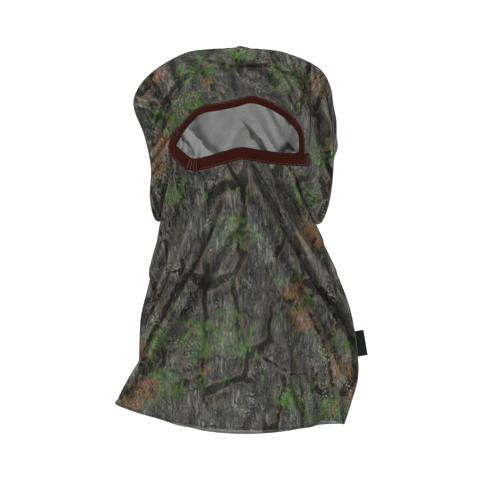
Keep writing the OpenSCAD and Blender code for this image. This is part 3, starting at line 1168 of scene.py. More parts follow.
@dataclass
class Tree:
    """Short way to lay shader nodes in a tree."""

    tree: bpy.types.NodeTree

    def add(self, kind: str, inputs: dict | None = None, **settings: object) -> bpy.types.Node:
        """Add a node.

        Args:
            kind: the node's type, without its ShaderNode prefix.
            inputs: sockets to link or values to set, by input name or number.
            settings: the node's own properties.

        Returns:
            The node.
        """
        node = self.tree.nodes.new("ShaderNode" + kind)
        for name, value in settings.items():
            setattr(node, name, value)
        for name, value in (inputs or {}).items():
            if isinstance(value, bpy.types.NodeSocket):
                self.link(value, node.inputs[name])
            else:
                node.inputs[name].default_value = value
        return node

    def link(self, value: bpy.types.NodeSocket, socket: bpy.types.NodeSocket) -> None:
        """Feed one socket from another."""
        self.tree.links.new(value, socket)

    def math(self, operation: str, first: object, second: object = 0.0,
             clamp: bool = False) -> bpy.types.NodeSocket:
        """Add a Math node and return its result."""
        return self.add("Math", {0: first, 1: second}, operation=operation, use_clamp=clamp).outputs[0]

    def vector(self, operation: str, first: object, second: object = (0, 0, 0)) -> bpy.types.Node:
        """Add a Vector Math node."""
        return self.add("VectorMath", {0: first, 1: second}, operation=operation)

    def scaled(self, vector: bpy.types.NodeSocket, scale: Colour) -> bpy.types.NodeSocket:
        """Stretch a pattern's coordinates."""
        return self.vector("MULTIPLY", vector, scale).outputs[0]

    def noise(self, vector: bpy.types.NodeSocket, scale: float, detail: float = 3.0,
              rough: float = 0.5, twist: float = 0.0) -> bpy.types.NodeSocket:
        """Add a noise and return its value."""
        return self.add("TexNoise", {"Vector": vector, "Scale": scale, "Detail": detail,
                                     "Roughness": rough, "Distortion": twist}).outputs[0]

    def span(self, value: object, low: float, high: float, to_low: float = 0.0, to_high: float = 1.0,
             kind: str = "SMOOTHSTEP") -> bpy.types.NodeSocket:
        """Map a range of values onto another."""
        return self.add("MapRange", {"Value": value, "From Min": low, "From Max": high, "To Min": to_low,
                                     "To Max": to_high}, interpolation_type=kind).outputs[0]

    def mix(self, share: object, first: object, second: object, how: str = "MIX") -> bpy.types.NodeSocket:
        """Mix two colours.

        Args:
            share: how much of the second.
            first: a colour or socket.
            second: a colour or socket.
            how: the way they blend.

        Returns:
            The mixed colour.
        """
        node = self.add("Mix", data_type="RGBA", blend_type=how)
        for socket, value in ((node.inputs[0], share), (node.inputs[6], first), (node.inputs[7], second)):
            if isinstance(value, bpy.types.NodeSocket):
                self.link(value, socket)
            else:
                socket.default_value = value if isinstance(value, float) else (*value[:3], 1.0)
        return node.outputs[2]

    def ramp(self, value: bpy.types.NodeSocket,
             stops: Sequence[tuple[float, Colour]]) -> bpy.types.NodeSocket:
        """Colour ramp through the given stops.

        Args:
            value: where on the ramp.
            stops: places and their colours.

        Returns:
            The colour.
        """
        node = self.add("ValToRGB", {0: value})
        bar = node.color_ramp.elements
        while len(bar) < len(stops):
            bar.new(0.5)
        for element, (place, colour) in zip(bar, stops):
            element.position = place
            element.color = (*colour, 1.0)
        return node.outputs[0]


def shader_group(name: str, takes: Sequence[tuple[str, str]],
                 gives: Sequence[tuple[str, str]]) -> tuple[Tree, bpy.types.Node, bpy.types.Node]:
    """Start a shader node group.

    Args:
        name: the group's name.
        takes: names and kinds of its inputs.
        gives: names and kinds of its outputs.

    Returns:
        The group's tree, its input node and its output node.
    """
    group = bpy.data.node_groups.new(name, "ShaderNodeTree")
    for label, kind in takes:
        group.interface.new_socket(label, in_out="INPUT", socket_type="NodeSocket" + kind)
    for label, kind in gives:
        group.interface.new_socket(label, in_out="OUTPUT", socket_type="NodeSocket" + kind)
    return Tree(group), group.nodes.new("NodeGroupInput"), group.nodes.new("NodeGroupOutput")


@dataclass(frozen=True)
class WoodlandPrint:
    """Woodland print: bark, dark limbs, green and autumn leaves, and pale lichen specks; its Limb input also
    carries two lines of painted pleat shade.
    """

    bark: Sequence[tuple[float, Colour]] = (
        (0.34, (0.004, 0.004, 0.003)), (0.46, (0.013, 0.013, 0.011)), (0.56, (0.036, 0.036, 0.030)),
        (0.70, (0.115, 0.115, 0.097)))
    limb: Colour = (0.004, 0.004, 0.003)
    limb_light: Colour = (0.060, 0.042, 0.026)
    green: Colour = (0.036, 0.098, 0.010)
    deep_green: Colour = (0.010, 0.034, 0.006)
    olive: Colour = (0.050, 0.062, 0.022)
    autumn: Colour = (0.105, 0.050, 0.018)
    lichen: Colour = (0.20, 0.21, 0.185)
    spray: float = 0.78

    def leaves(self, t: Tree, vector: bpy.types.NodeSocket, cells: float, shift: Colour, rare: float,
               clump: bpy.types.NodeSocket) -> tuple[bpy.types.NodeSocket, bpy.types.NodeSocket]:
        """One layer of leaves.

        Args:
            t: the tree to add to.
            vector: place on the cut.
            cells: leaves to a metre.
            shift: offset of the layer.
            rare: how seldom a leaf grows outside the clusters.
            clump: mask of the clusters.

        Returns:
            The leaves' mask, and each leaf's own random number.
        """
        moved = t.vector("ADD", vector, shift).outputs[0]
        lobes = t.noise(moved, 210.0, 2.0)
        sway = t.noise(moved, 60.0, 1.0)
        bent = t.add("CombineXYZ", {0: t.math("MULTIPLY", lobes, 0.008), 1: t.math("MULTIPLY", sway, 0.02)})
        bent = t.vector("ADD", t.scaled(moved, (1.35, 0.8, 1.0)), bent.outputs[0]).outputs[0]
        cell = t.add("TexVoronoi", {"Vector": bent, "Scale": cells}, voronoi_dimensions="2D")
        chance = t.add("SeparateColor", {0: cell.outputs["Color"]})
        grows = t.math("ADD", chance.outputs[0], t.math("MULTIPLY", clump, 0.62))
        body = t.span(cell.outputs["Distance"], 0.34, 0.40, 1.0, 0.0)
        mask = t.math("MULTIPLY", body, t.math("GREATER_THAN", grows, rare))
        return mask, chance.outputs[1]

    def group(self) -> bpy.types.NodeTree:
        """Build the print once, as a node group that takes the place on the cut.

        Returns:
            The group.
        """
        t, takes, gives = shader_group("woodland_print", [
            ("Place", "Vector"), ("Green", "Float"), ("Autumn", "Float"), ("Limb", "Float")],
            [("Colour", "Color"), ("Ink", "Float")])
        place = takes.outputs[0]
        turned = takes.outputs["Autumn"]
        torn = t.span(t.noise(t.scaled(place, (1.0, 0.5, 1.0)), 70.0, 3.0, 0.6), 0.32, 0.68, -0.45, 0.25)
        every = t.math("MAXIMUM", takes.outputs["Green"], turned)
        every = t.math("ADD", every, torn, clamp=True)
        grain = t.noise(t.scaled(place, (1.0, 0.20, 1.0)), 330.0, 7.0, 0.66, 0.7)
        patch = t.noise(t.scaled(place, (1.0, 0.6, 1.0)), 26.0, 3.0, 0.55, 0.4)
        colour = t.ramp(t.math("ADD", grain, t.span(patch, 0.3, 0.7, -0.09, 0.09)), self.bark)
        tint = t.noise(place, 38.0, 2.0)
        colour = t.mix(t.span(tint, 0.45, 0.7, 0.0, 0.55), colour, (0.055, 0.040, 0.026))
        crack = t.add("TexVoronoi", {"Vector": t.scaled(place, (1.0, 0.26, 1.0)), "Scale": 170.0},
                      feature="DISTANCE_TO_EDGE", voronoi_dimensions="2D")
        colour = t.mix(t.span(crack.outputs[0], 0.02, 0.09, 0.9, 0.0), colour, self.limb)
        warp = t.add("TexNoise", {"Vector": place, "Scale": 13.0, "Detail": 3.0})
        swing = t.scaled(t.vector("SUBTRACT", warp.outputs["Color"], (0.5, 0.5, 0.5)).outputs[0],
                         (0.055, 0.03, 0.0))
        limbs = t.vector("ADD", t.scaled(place, (1.0, 0.42, 1.0)), swing).outputs[0]
        fork = t.add("TexVoronoi", {"Vector": limbs, "Scale": 24.0}, feature="DISTANCE_TO_EDGE",
                     voronoi_dimensions="2D")
        some = t.span(t.noise(place, 17.0, 1.0), 0.43, 0.50)
        edge = t.math("MULTIPLY", t.span(fork.outputs[0], 0.075, 0.12, 1.0, 0.0), some)
        core = t.math("MULTIPLY", t.span(fork.outputs[0], 0.045, 0.080, 1.0, 0.0), some)
        colour = t.mix(t.math("MULTIPLY", edge, 0.7), colour, self.limb_light)
        colour = t.mix(core, colour, self.limb)
        # The listed dark lines: printed limbs, and two lines of painted shade along a pleat at the top left
        # of the crown.
        ragged = t.math("ADD", takes.outputs["Limb"], t.span(t.noise(place, 150.0, 3.0), 0.3, 0.7, -1.6, 1.6))
        colour = t.mix(t.span(ragged, -0.4, 2.2, 0.75, 0.0), colour, self.limb_light)
        heavy = t.span(ragged, -1.2, 0.6, 1.0, 0.0)
        colour = t.mix(heavy, colour, self.limb)
        faint = t.math("SUBTRACT", 1.0, t.math("MULTIPLY", heavy, 0.75))
        for lean, shift, level in ((0.5, 0.13, 0.50), (-0.7, 0.71, 0.52)):
            turn = t.add("Mapping", {"Vector": place, "Rotation": (0, 0, lean),
                                     "Location": (shift, shift, 0)})
            blade = t.noise(t.scaled(turn.outputs[0], (1.0, 0.16, 1.0)), 300.0, 3.0, 0.55, 0.5)
            spray = t.math("MULTIPLY", t.span(blade, level, level + 0.09), t.span(every, 0.02, 0.45))
            tone = t.mix(t.span(t.noise(turn.outputs[0], 90.0, 2.0), 0.4, 0.62), self.deep_green, self.green)
            tone = t.mix(t.span(turned, 0.25, 0.6), tone, self.autumn)
            colour = t.mix(t.math("MULTIPLY", t.math("MULTIPLY", spray, faint), self.spray), colour, tone)
        for cells, shift, rare in ((58.0, (0.31, 0.07, 0), 1.12), (82.0, (0.11, 0.53, 0), 1.08),
                                   (130.0, (0.77, 0.21, 0), 0.985)):
            mask, chance = self.leaves(t, place, cells, shift, rare, every)
            leaf = t.mix(t.math("GREATER_THAN", chance, 0.42), self.green, self.olive)
            old = t.math("GREATER_THAN", t.math("ADD", turned, t.math("MULTIPLY", chance, 0.5)), 0.46)
            leaf = t.mix(old, leaf, self.autumn)
            shade = t.noise(t.scaled(place, (1.0, 0.5, 1.0)), 420.0, 2.0)
            leaf = t.mix(t.span(shade, 0.35, 0.65, 0.75, 0.0), leaf, (0.012, 0.014, 0.006))
            colour = t.mix(t.math("MULTIPLY", mask, faint), colour, leaf)
        fleck = t.add("TexVoronoi", {"Vector": place, "Scale": 300.0}, voronoi_dimensions="2D")
        field_mask = t.span(t.noise(place, 44.0, 2.0), 0.56, 0.66)
        fleck_mask = t.math("MULTIPLY", t.span(fleck.outputs["Distance"], 0.16, 0.28, 0.55, 0.0), field_mask)
        colour = t.mix(fleck_mask, colour, self.lichen)
        t.link(colour, gives.inputs[0])
        t.link(t.math("MAXIMUM", heavy, t.math("MULTIPLY", core, 0.6)), gives.inputs[1])
        return t.tree


class Groups:
    """Node groups that several finishes share, each built once."""

    @staticmethod
    def knit() -> bpy.types.NodeTree:
        """Open tricot mesh: how much thread covers a place, and its height.

        Returns:
            The group.
        """
        t, takes, gives = shader_group("tricot_mesh", [("Place", "Vector"), ("Pitch", "Float")],
                                       [("Cover", "Float"), ("Height", "Float")])
        turn = t.math("DIVIDE", 2 * math.pi, takes.outputs["Pitch"])
        part = t.add("SeparateXYZ", {0: takes.outputs["Place"]})
        wales = t.math("COSINE", t.math("MULTIPLY", part.outputs[0], turn))
        rows = t.math("COSINE", t.math("MULTIPLY", t.math("MULTIPLY", part.outputs[1], 0.8), turn))
        hole = t.math("MULTIPLY", wales, rows)
        t.link(t.span(hole, 0.05, 0.65, 1.0, 0.0), gives.inputs[0])
        fibre = t.noise(takes.outputs["Place"], 5200.0, 1.0)
        height = t.math("SUBTRACT", t.math("MULTIPLY", fibre, 0.3), hole)
        t.link(height, gives.inputs[1])
        return t.tree

    @staticmethod
    def rib() -> bpy.types.NodeTree:
        """Fine ribs across a tape: height, and how deep a place lies between ribs, which the tapes use for
        painted shade in the grooves.

        Returns:
            The group.
        """
        t, takes, gives = shader_group("ribbing", [("Place", "Vector"), ("Pitch", "Float")],
                                       [("Height", "Float"), ("GrooveShade", "Float")])
        turn = t.math("DIVIDE", 2 * math.pi, takes.outputs["Pitch"])
        part = t.add("SeparateXYZ", {0: takes.outputs["Place"]})
        wobble = t.math("MULTIPLY", t.noise(takes.outputs["Place"], 240.0, 2.0), 2.2)
        along = t.math("SINE", t.math("ADD", t.math("MULTIPLY", part.outputs[0], turn), wobble))
        across = t.math("SINE", t.math("MULTIPLY", t.math("MULTIPLY", part.outputs[1], 1.4), turn))
        height = t.math("ADD", along, t.math("MULTIPLY", across, 0.35))
        t.link(height, gives.inputs[0])
        t.link(t.span(along, -0.9, 0.1, 1.0, 0.0), gives.inputs[1])
        return t.tree

    @staticmethod
    def rub() -> bpy.types.NodeTree:
        """Uneven fading and lint from handling, as a mask.

        Returns:
            The group.
        """
        t, takes, gives = shader_group("handling", [("Place", "Vector")], [("Rub", "Float")])
        broad = t.span(t.noise(takes.outputs[0], 55.0, 3.0, 0.6), 0.42, 0.72)
        fine = t.span(t.noise(takes.outputs[0], 900.0, 2.0), 0.45, 0.75)
        t.link(t.math("ADD", t.math("MULTIPLY", broad, 0.7), t.math("MULTIPLY", fine, 0.3)),
                         gives.inputs[0])
        return t.tree

    knit_tree: bpy.types.NodeTree
    rib_tree: bpy.types.NodeTree
    rub_tree: bpy.types.NodeTree
    print_tree: bpy.types.NodeTree

    def __init__(self) -> None:
        """Build every group."""
        self.knit_tree, self.rib_tree, self.rub_tree = self.knit(), self.rib(), self.rub()
        self.print_tree = WoodlandPrint().group()


def new_material(name: str) -> tuple[bpy.types.Material, Tree, bpy.types.Node]:
    """Start a material, and give its tree and its Principled shader.

    Args:
        name: the material's name.

    Returns:
        The material, its tree and its shader.
    """
    material = bpy.data.materials.new(name)
    material.use_nodes = True
    return material, Tree(material.node_tree), material.node_tree.nodes["Principled BSDF"]


def set_sockets(shader: bpy.types.Node, values: dict[str, object]) -> None:
    """Set constants on a shader's own sockets."""
    for name, value in values.items():
        shader.inputs[name].default_value = value


@dataclass(frozen=True)
class PrintedMesh:
    """Sheer printed mesh cloth, one side of it."""

    name: str
    gain: float
    thin: float
    thick: float
    grey: float
    # middle_shade_gain and sheer: painted shade, darker and slightly more opaque across the middle of the
    # panel, for the shadowed hollow of the hood.
    middle_shade_gain: float
    sheer: float
    # fold: strength of the painted shade in fold valleys and the painted highlight on fold ridges.
    fold: float

    def build(self, groups: Groups) -> bpy.types.Material:
        """Build the material from the print, the knit, the handling, painted shade in fold valleys and across
        the middle of the panel, and painted highlight on fold ridges.

        Args:
            groups: the shared node groups.

        Returns:
            The material.
        """
        material, t, shader = new_material(self.name)
        place = t.add("UVMap", uv_map="cut").outputs[0]
        marks = {name.capitalize(): t.add("Attribute", attribute_name=name).outputs["Fac"]
                 for name in ("green", "autumn", "limb")}
        dyed = t.add("Group", {"Place": place, **marks}, node_tree=groups.print_tree)
        printed = dyed.outputs["Colour"]
        knit = t.add("Group", {"Place": place, "Pitch": 0.0013}, node_tree=groups.knit_tree)
        rub = t.add("Group", {"Place": place}, node_tree=groups.rub_tree).outputs[0]
        printed = t.mix(t.math("MULTIPLY", rub, self.grey), printed, (0.06, 0.06, 0.056))
        part = t.add("SeparateXYZ", {0: place})
        # Painted shade across the middle of the panel: darker colour and a little more cover, standing in for
        # the shadowed inside of the hood seen through the cloth.
        middle = t.span(t.math("ABSOLUTE", part.outputs[0]), 0.045, 0.125, 1.0, 0.0)
        # Painted shade and highlight: the crease depth darkens the colour in fold valleys and brightens it on
        # fold ridges.
        crease = t.add("Attribute", attribute_name="crease").outputs["Fac"]
        fold = t.span(crease, -0.9, 1.1, 1 + 0.45 * self.fold, 1 - 0.58 * self.fold)
        gain = t.math("ADD", t.math("MULTIPLY", middle, self.middle_shade_gain), self.gain)
        # worn is the overall gain times the painted middle shade and the painted fold shade and highlight.
        worn = t.math("MULTIPLY", gain, fold)
        bright = t.add("VectorMath", {0: printed, "Scale": worn}, operation="SCALE")
        t.link(bright.outputs[0], shader.inputs["Base Color"])
        cover = t.span(knit.outputs["Cover"], 0.0, 1.0, self.thin, self.thick, "LINEAR")
        cover = t.math("SUBTRACT", cover, t.math("MULTIPLY", middle, self.sheer))
        # Painted fold shade in the cover too: valleys more opaque, ridges slightly more see-through.
        deep = t.span(crease, -0.8, 1.2, -0.06 * self.fold, 0.22 * self.fold)
        cover = t.math("ADD", cover, deep, clamp=True)
        cover = t.math("ADD", cover, t.math("MULTIPLY", dyed.outputs["Ink"], 0.3), clamp=True)
        t.link(cover, shader.inputs["Alpha"])
        bump = t.add("Bump", {"Height": knit.outputs["Height"], "Strength": 0.35, "Distance": 0.0002})
        t.link(bump.outputs[0], shader.inputs["Normal"])
        t.link(t.span(rub, 0.0, 1.0, 0.78, 0.92), shader.inputs["Roughness"])
        set_sockets(shader, {"Sheen Weight": 0.01, "Sheen Roughness": 0.5, "Specular IOR Level": 0.1})
        return material


@dataclass(frozen=True)
class RibbedTape:
    """Ribbed elastic or folded knit tape."""

    name: str
    colour: Colour
    groove_shade: Colour
    faded: Colour
    pitch: float
    depth: float = 0.00018

    def build(self, groups: Groups) -> bpy.types.Material:
        """Build the material from the ribbing, painted shade in the grooves between ribs, and the handling.

        Args:
            groups: the shared node groups.

        Returns:
            The material.
        """
        material, t, shader = new_material(self.name)
        place = t.add("UVMap", uv_map="flat").outputs[0]
        rib = t.add("Group", {"Place": place, "Pitch": self.pitch}, node_tree=groups.rib_tree)
        rub = t.add("Group", {"Place": place}, node_tree=groups.rub_tree).outputs[0]
        colour = t.mix(t.math("MULTIPLY", rub, 0.55), self.colour, self.faded)
        # Painted shade: darker colour in the grooves between the ribs.
        colour = t.mix(t.math("MULTIPLY", rib.outputs["GrooveShade"], 0.75), colour, self.groove_shade)
        t.link(colour, shader.inputs["Base Color"])
        bump = t.add("Bump", {"Height": rib.outputs["Height"], "Strength": 0.8, "Distance": self.depth})
        t.link(bump.outputs[0], shader.inputs["Normal"])
        t.link(t.span(rub, 0.0, 1.0, 0.7, 0.88), shader.inputs["Roughness"])
        set_sockets(shader, {"Specular IOR Level": 0.03})
        return material


@dataclass(frozen=True)
class Thread:
    """Spun sewing thread."""

    name: str
    colour: Colour
    light: Colour
    twist: float = 9000.0

    def build(self, groups: Groups) -> bpy.types.Material:
        """Build the material with the twist of the plies, painted as stripes of highlight and shade, and the
        handling.

        Args:
            groups: the shared node groups.

        Returns:
            The material.
        """
        material, t, shader = new_material(self.name)
        place = t.add("UVMap", uv_map="flat").outputs[0]
        part = t.add("SeparateXYZ", {0: place})
        lay = t.math("ADD", *(t.math("MULTIPLY", part.outputs[k], self.twist) for k in (0, 1)))
        ply = t.math("SINE", lay)
        rub = t.add("Group", {"Place": place}, node_tree=groups.rub_tree).outputs[0]
        # Painted highlight and shade: lighter along the crest of each ply and darker between plies; the rub
        # adds real fading.
        shade = t.math("ADD", t.span(ply, -1.0, 1.0, 0.0, 0.6), t.math("MULTIPLY", rub, 0.4))
        t.link(t.mix(shade, self.colour, self.light), shader.inputs["Base Color"])
        bump = t.add("Bump", {"Height": ply, "Strength": 0.6, "Distance": 0.0001})
        t.link(bump.outputs[0], shader.inputs["Normal"])
        t.link(t.span(rub, 0.0, 1.0, 0.55, 0.75), shader.inputs["Roughness"])
        set_sockets(shader, {"Sheen Weight": 0.1, "Specular IOR Level": 0.3})
        return material


@dataclass(frozen=True)
class Paper:
    """Pale paper of the studio floor."""

    name: str = "sweep_paper"
    colour: Colour = (0.93, 0.93, 0.93)

    def build(self) -> bpy.types.Material:
        """Build the material with a faint mottle.

        Returns:
            The material.
        """
        material, t, shader = new_material(self.name)
        place = t.add("TexCoord").outputs["Object"]
        mottle = t.span(t.noise(place, 3.0, 2.0), 0.3, 0.7, 0.0, 0.4)
        t.link(t.mix(mottle, self.colour, (0.96, 0.96, 0.96)), shader.inputs["Base Color"])
        set_sockets(shader, {"Roughness": 0.9, "Specular IOR Level": 0.1})
        return material


@dataclass
class Finishes:
    """Every finish on the mask."""

    groups: Groups = field(default_factory=Groups)

    def __post_init__(self) -> None:
        """Build the materials."""
        outer = PrintedMesh("printed_mesh", gain=1.40, thin=0.30, thick=0.70, grey=0.12,
                            middle_shade_gain=-0.25, sheer=-0.03, fold=1.0)
        inner = PrintedMesh("printed_mesh_inside", gain=1.30, thin=0.27, thick=0.66, grey=0.40,
                            middle_shade_gain=-0.20, sheer=-0.03, fold=0.35)
        tape = RibbedTape("binding_tape", (0.024, 0.0040, 0.0018), (0.0065, 0.0013, 0.0007),
                          (0.036, 0.0078, 0.0042), 0.0011)
        elastic = RibbedTape("woven_elastic", (0.035, 0.032, 0.03), (0.012, 0.011, 0.01),
                             (0.06, 0.056, 0.052), 0.0009)
        ribbon = RibbedTape("label_ribbon", (0.009, 0.009, 0.010), (0.004, 0.004, 0.004),
                            (0.020, 0.020, 0.021), 0.0005, 0.00006)
        self.outer, self.inner = outer.build(self.groups), inner.build(self.groups)
        self.tape, self.elastic = tape.build(self.groups), elastic.build(self.groups)
        self.ribbon = ribbon.build(self.groups)
        tape_thread = Thread("tape_thread", (0.050, 0.018, 0.013), (0.13, 0.055, 0.042))
        seam_thread = Thread("seam_thread", (0.030, 0.030, 0.024), (0.085, 0.083, 0.070))
        self.tape_thread, self.seam_thread = tape_thread.build(self.groups), seam_thread.build(self.groups)
        self.paper = Paper().build()


# ---------------------------------------------------------------- the panels


@dataclass
class ClothPanels:
    """The face and back panels, as draped sheets with their printed outside and paler inside."""

    drape: Drape
    finishes: Finishes
    thickness: float = 0.3

    def build(self, side: Side, name: str) -> bpy.types.Object:
        """Make a panel.

        Args:
            side: which panel.
            name: the CAD node that it stands for.

        Returns:
            The panel.
        """
        cut = self.drape.cut
        piece = add_object(name + "_cloth", self.drape.surfaces[side].mesh,
                           [self.finishes.outer, self.finishes.inner], replaces=[name])
        solidified(piece, self.thickness, 0.0, inside=1)
        cut.panel_length(side) * MM
        return piece


# ---------------------------------------------------------------- the tapes round the opening


@dataclass
class TapeLine:
    """Stations along a tape: its folded edge, directions into the cloth and off the head, width, raise."""

    edge: np.ndarray
    into: np.ndarray
    off: np.ndarray
    width: np.ndarray
    raised: np.ndarray

    def at(self, reach: float | np.ndarray, height: float | np.ndarray, shares: bool = True) -> np.ndarray:
        """Places across the tape.

        Args:
            reach: how far from the folded edge, as a share of the width or in millimetres.
            height: how far off the cloth.
            shares: whether reach is a share of the width.

        Returns:
            One place for each station.
        """
        far = reach * self.width if shares else np.broadcast_to(reach, self.width.shape)
        return self.edge + self.into * far[:, None] + self.off * (self.raised + height)[:, None]

    def run(self) -> np.ndarray:
        """Distance of each station along the folded edge."""
        return run_along(self.edge)

    def stepped(self, step: float) -> "TapeLine":
        """The same tape with stations at even steps.

        Args:
            step: length of a step.

        Returns:
            The evenly stepped tape.
        """
        run = self.run()
        at = np.linspace(0, run[-1], max(2, round(run[-1] / step)) + 1)
        columns = np.c_[self.edge, self.into, self.off, self.width, self.raised]
        even = columns_at(at, run, columns)
        return TapeLine(even[:, :3], unit(even[:, 3:6]), unit(even[:, 6:9]), even[:, 9], even[:, 10])

    def part(self, start: float, end: float) -> "TapeLine":
        """The stations between two distances along the tape.

        Args:
            start: where the part starts.
            end: where it ends.

        Returns:
            The part.
        """
        run = self.run()
        keep = (run >= start) & (run <= end)
        return TapeLine(self.edge[keep], self.into[keep], self.off[keep], self.width[keep], self.raised[keep])


@dataclass
class EyeTapes:
    """Folded tapes round the eye opening, with elastic, topstitching and bartacks."""

    drape: Drape
    finishes: Finishes
    tail: float = 45.0
    tail_from: int = 6
    ply: float = 0.55
    fold: float = 1.3
    station: float = 1.1
    lap: tuple[float, float] = (43.0, 57.0)

    def lines(self) -> tuple[TapeLine, TapeLine]:
        """Stations of the upper binding and of the lower band with its free end.

        Returns:
            The upper binding and the lower band.
        """
        count = self.drape.cut.eye_points
        loop = self.drape.eye.loop(count)
        into, off = self.drape.eye.outward(loop)
        width = self.drape.cut.tape_width()

        def pick(order: np.ndarray) -> TapeLine:
            """Stations at the given points of the loop."""
            ring = order % count
            return TapeLine(loop[ring], into[ring], off[ring], width[ring], np.zeros(len(ring)))

        upper = pick(np.arange(self.drape.cut.wrap - 2, count // 2 + 3))
        upper.width = np.minimum(upper.width, self.drape.cut.upper_tape * 1.05)
        lower = pick(np.arange(self.drape.cut.wrap, -(count // 2 - self.tail_from), -1))
        return upper.stepped(self.station), self.with_tail(lower.stepped(self.station))

    def with_tail(self, line: TapeLine) -> TapeLine:
        """Carry a band straight on over the cloth past the corner of the opening.

        Args:
            line: the band's stations.

        Returns:
            The band with its tail.
        """
        face = self.drape.surfaces[Side.FACE]
        edge, into, off, width = line.edge[-1], line.into[-1], line.off[-1], self.drape.cut.lower_tape
        ahead = unit(line.edge[-1] - line.edge[-5])
        rows = []
        for _ in range(round(self.tail / self.station)):
            spot = edge + ahead * self.station + into * width / 2
            near, normal = face.rest(spot[None])
            off = unit(0.8 * off + 0.2 * normal[0])
            into = unit(into - off * float(into @ off))
            edge = near[0] - into * width / 2
            ahead = unit(ahead - off * float(ahead @ off))
            rows.append(np.r_[edge, into, off, width, 0.0])
        rows = blurred(np.array(rows), 3, closed=False)
        grown = len(line.edge) - 12
        columns = np.vstack([np.c_[line.edge, line.into, line.off, line.width, line.raised], rows])
        columns[:, 10] = np.clip((np.arange(len(columns)) - grown) / 12, 0, 1)
        columns[:, :3] = blurred(columns[:, :3], 2, closed=False)
        return TapeLine(columns[:, :3], unit(columns[:, 3:6]), unit(columns[:, 6:9]), columns[:, 9],
                        columns[:, 10])

    def profile(self) -> list[tuple[float, float, float]]:
        """Section of a folded tape: share of the width, millimetres past the fold, and height.

        Returns:
            The section's points, from the outside round the fold.
        """
        front = [(s, 0.0, 0.62 + 0.45 * math.sin(math.pi * s))
                 for s in (1.0, 0.92, 0.78, 0.6, 0.42, 0.24, 0.1)]
        turn = [(0.0, -self.fold * math.sin(a) * 0.9, 0.78 * math.cos(a))
                for a in np.linspace(0.35, math.pi - 0.35, 6)]
        back = [(s, 0.0, -0.62 - 0.15 * math.sin(math.pi * s)) for s in (0.1, 0.3, 0.55, 0.8, 1.0)]
        return front + turn + back

    def folded(self, name: str, line: TapeLine, gather: float) -> bpy.types.Mesh:
        """Folded tape along its stations, with the small ripples that its elastic draws in.

        Args:
            name: the mesh's name.
            line: the stations.
            gather: height of the ripples.

        Returns:
            The tape.
        """
        run = line.run()
        ripple = gather * np.sin(2 * math.pi * run / 4.3 + 0.9 * np.sin(run / 8.0))
        rows, places, across = [], [], 0.0
        for share, past, height in self.profile():
            bow = height + ripple * (abs(share - 0.5) < 0.45) * np.sign(height)
            rows.append(line.at(share * line.width + past, bow, shares=False))
        points = np.stack(rows, axis=1)
        for k in range(points.shape[1]):
            across += float(np.linalg.norm(points[0, k] - points[0, k - 1])) if k else 0.0
            places.append(np.c_[run, np.full(len(run), across)] * MM)
        return cloth_grid(name, points, np.stack(places, axis=1))

    def strip(self, name: str, line: TapeLine, shares: Sequence[float], height: float) -> bpy.types.Mesh:
        """Plain strip between two shares of the tape's width.

        Args:
            name: the mesh's name.
            line: the stations.
            shares: shares of the width that have a point.
            height: how far off the cloth.

        Returns:
            The strip.
        """
        rows = [line.at(s, height) for s in shares]
        run = line.run()
        flat = np.stack([np.c_[run, line.width * s] * MM for s in shares], axis=1)
        return cloth_grid(name, np.stack(rows, axis=1), flat)

    def stitches(self, name: str, line: TapeLine, share: float, height: float, length: float = 2.3,
                 gap: float = 0.8, radius: float = 0.19) -> bpy.types.Mesh:
        """Row of topstitches along a tape.

        Args:
            name: the mesh's name.
            line: the tape's stations.
            share: how far across the tape, as a share of its width.
            height: height of the row.
            length: length of a stitch.
            gap: space between stitches.
            radius: radius of the thread.

        Returns:
            The row.
        """
        path, run = line.at(share, height), line.run()
        parts = []
        for start in np.arange(1.0, run[-1] - length - 1.0, length + gap):
            at = start + length * np.array([0.0, 0.12, 0.5, 0.88, 1.0])
            spine, off = columns_at(at, run, path), columns_at(at, run, line.off)
            spine += off * np.array([-0.35, 0.05, 0.16, 0.05, -0.35])[:, None]
            parts.append(thread_mesh("stitch", spine, np.array([0.5, 0.9, 1.0, 0.9, 0.5]) * radius))
        return joined(name, parts)

    def zigzag(self, line: TapeLine, low: float, high: float, height: float, pitch: float,
               radius: float = 0.2) -> bpy.types.Mesh:
        """Dense zigzag of a bartack between two shares of the tape's width.

        Args:
            line: the stations.
            low: share of the width where it starts.
            high: share where it ends.
            height: how far off the cloth.
            pitch: length of a zigzag.
            radius: radius of the thread.

        Returns:
            The zigzag.
        """
        run = line.run()
        at = np.arange(0, run[-1], pitch / 2)
        near, far = line.at(low, height), line.at(high, height)
        side = np.arange(len(at)) % 2
        spine = np.stack([np.interp(at, run, near[:, k]) * (1 - side) + np.interp(at, run, far[:, k]) * side
                          for k in range(3)], axis=1)
        return thread_mesh("bartack", spine, radius)

    def bar(self, line: TapeLine, place: float, low: float, high: float, height: float,
            radius: float = 0.21) -> bpy.types.Mesh:
        """Straight run of stitching across the tape at a distance along it.

        Args:
            line: the stations.
            place: distance along the tape.
            low: share of the width where it starts.
            high: share where it ends.
            height: how far off the cloth.
            radius: radius of the thread.

        Returns:
            The bar.
        """
        shares = np.linspace(low, high, 15)
        run = line.run()
        rows = [line.at(s, height + 0.09 * (k % 2)) for k, s in enumerate(shares)]
        spine = np.array([[np.interp(place, run, row[:, k]) for k in range(3)] for row in rows])
        return thread_mesh("bar", spine, radius)

    def tape_piece(self, name: str, mesh: bpy.types.Mesh, finish: bpy.types.Material,
                   replaces: Sequence[str], thickness: float) -> bpy.types.Object:
        """Put a tape in place and give it its thickness.

        Args:
            name: the piece's name.
            mesh: its mesh.
            finish: its material.
            replaces: CAD nodes that it stands for.
            thickness: in millimetres.

        Returns:
            The piece.
        """
        piece = add_object(name, mesh, [finish], replaces=replaces)
        subdivided(piece)
        return solidified(piece, thickness)

    def sewn(self, name: str, mesh: bpy.types.Mesh, node: str) -> None:
        """Put stitching of tape thread in place of a CAD node."""
        add_object(name, mesh, [self.finishes.tape_thread], replaces=[node])

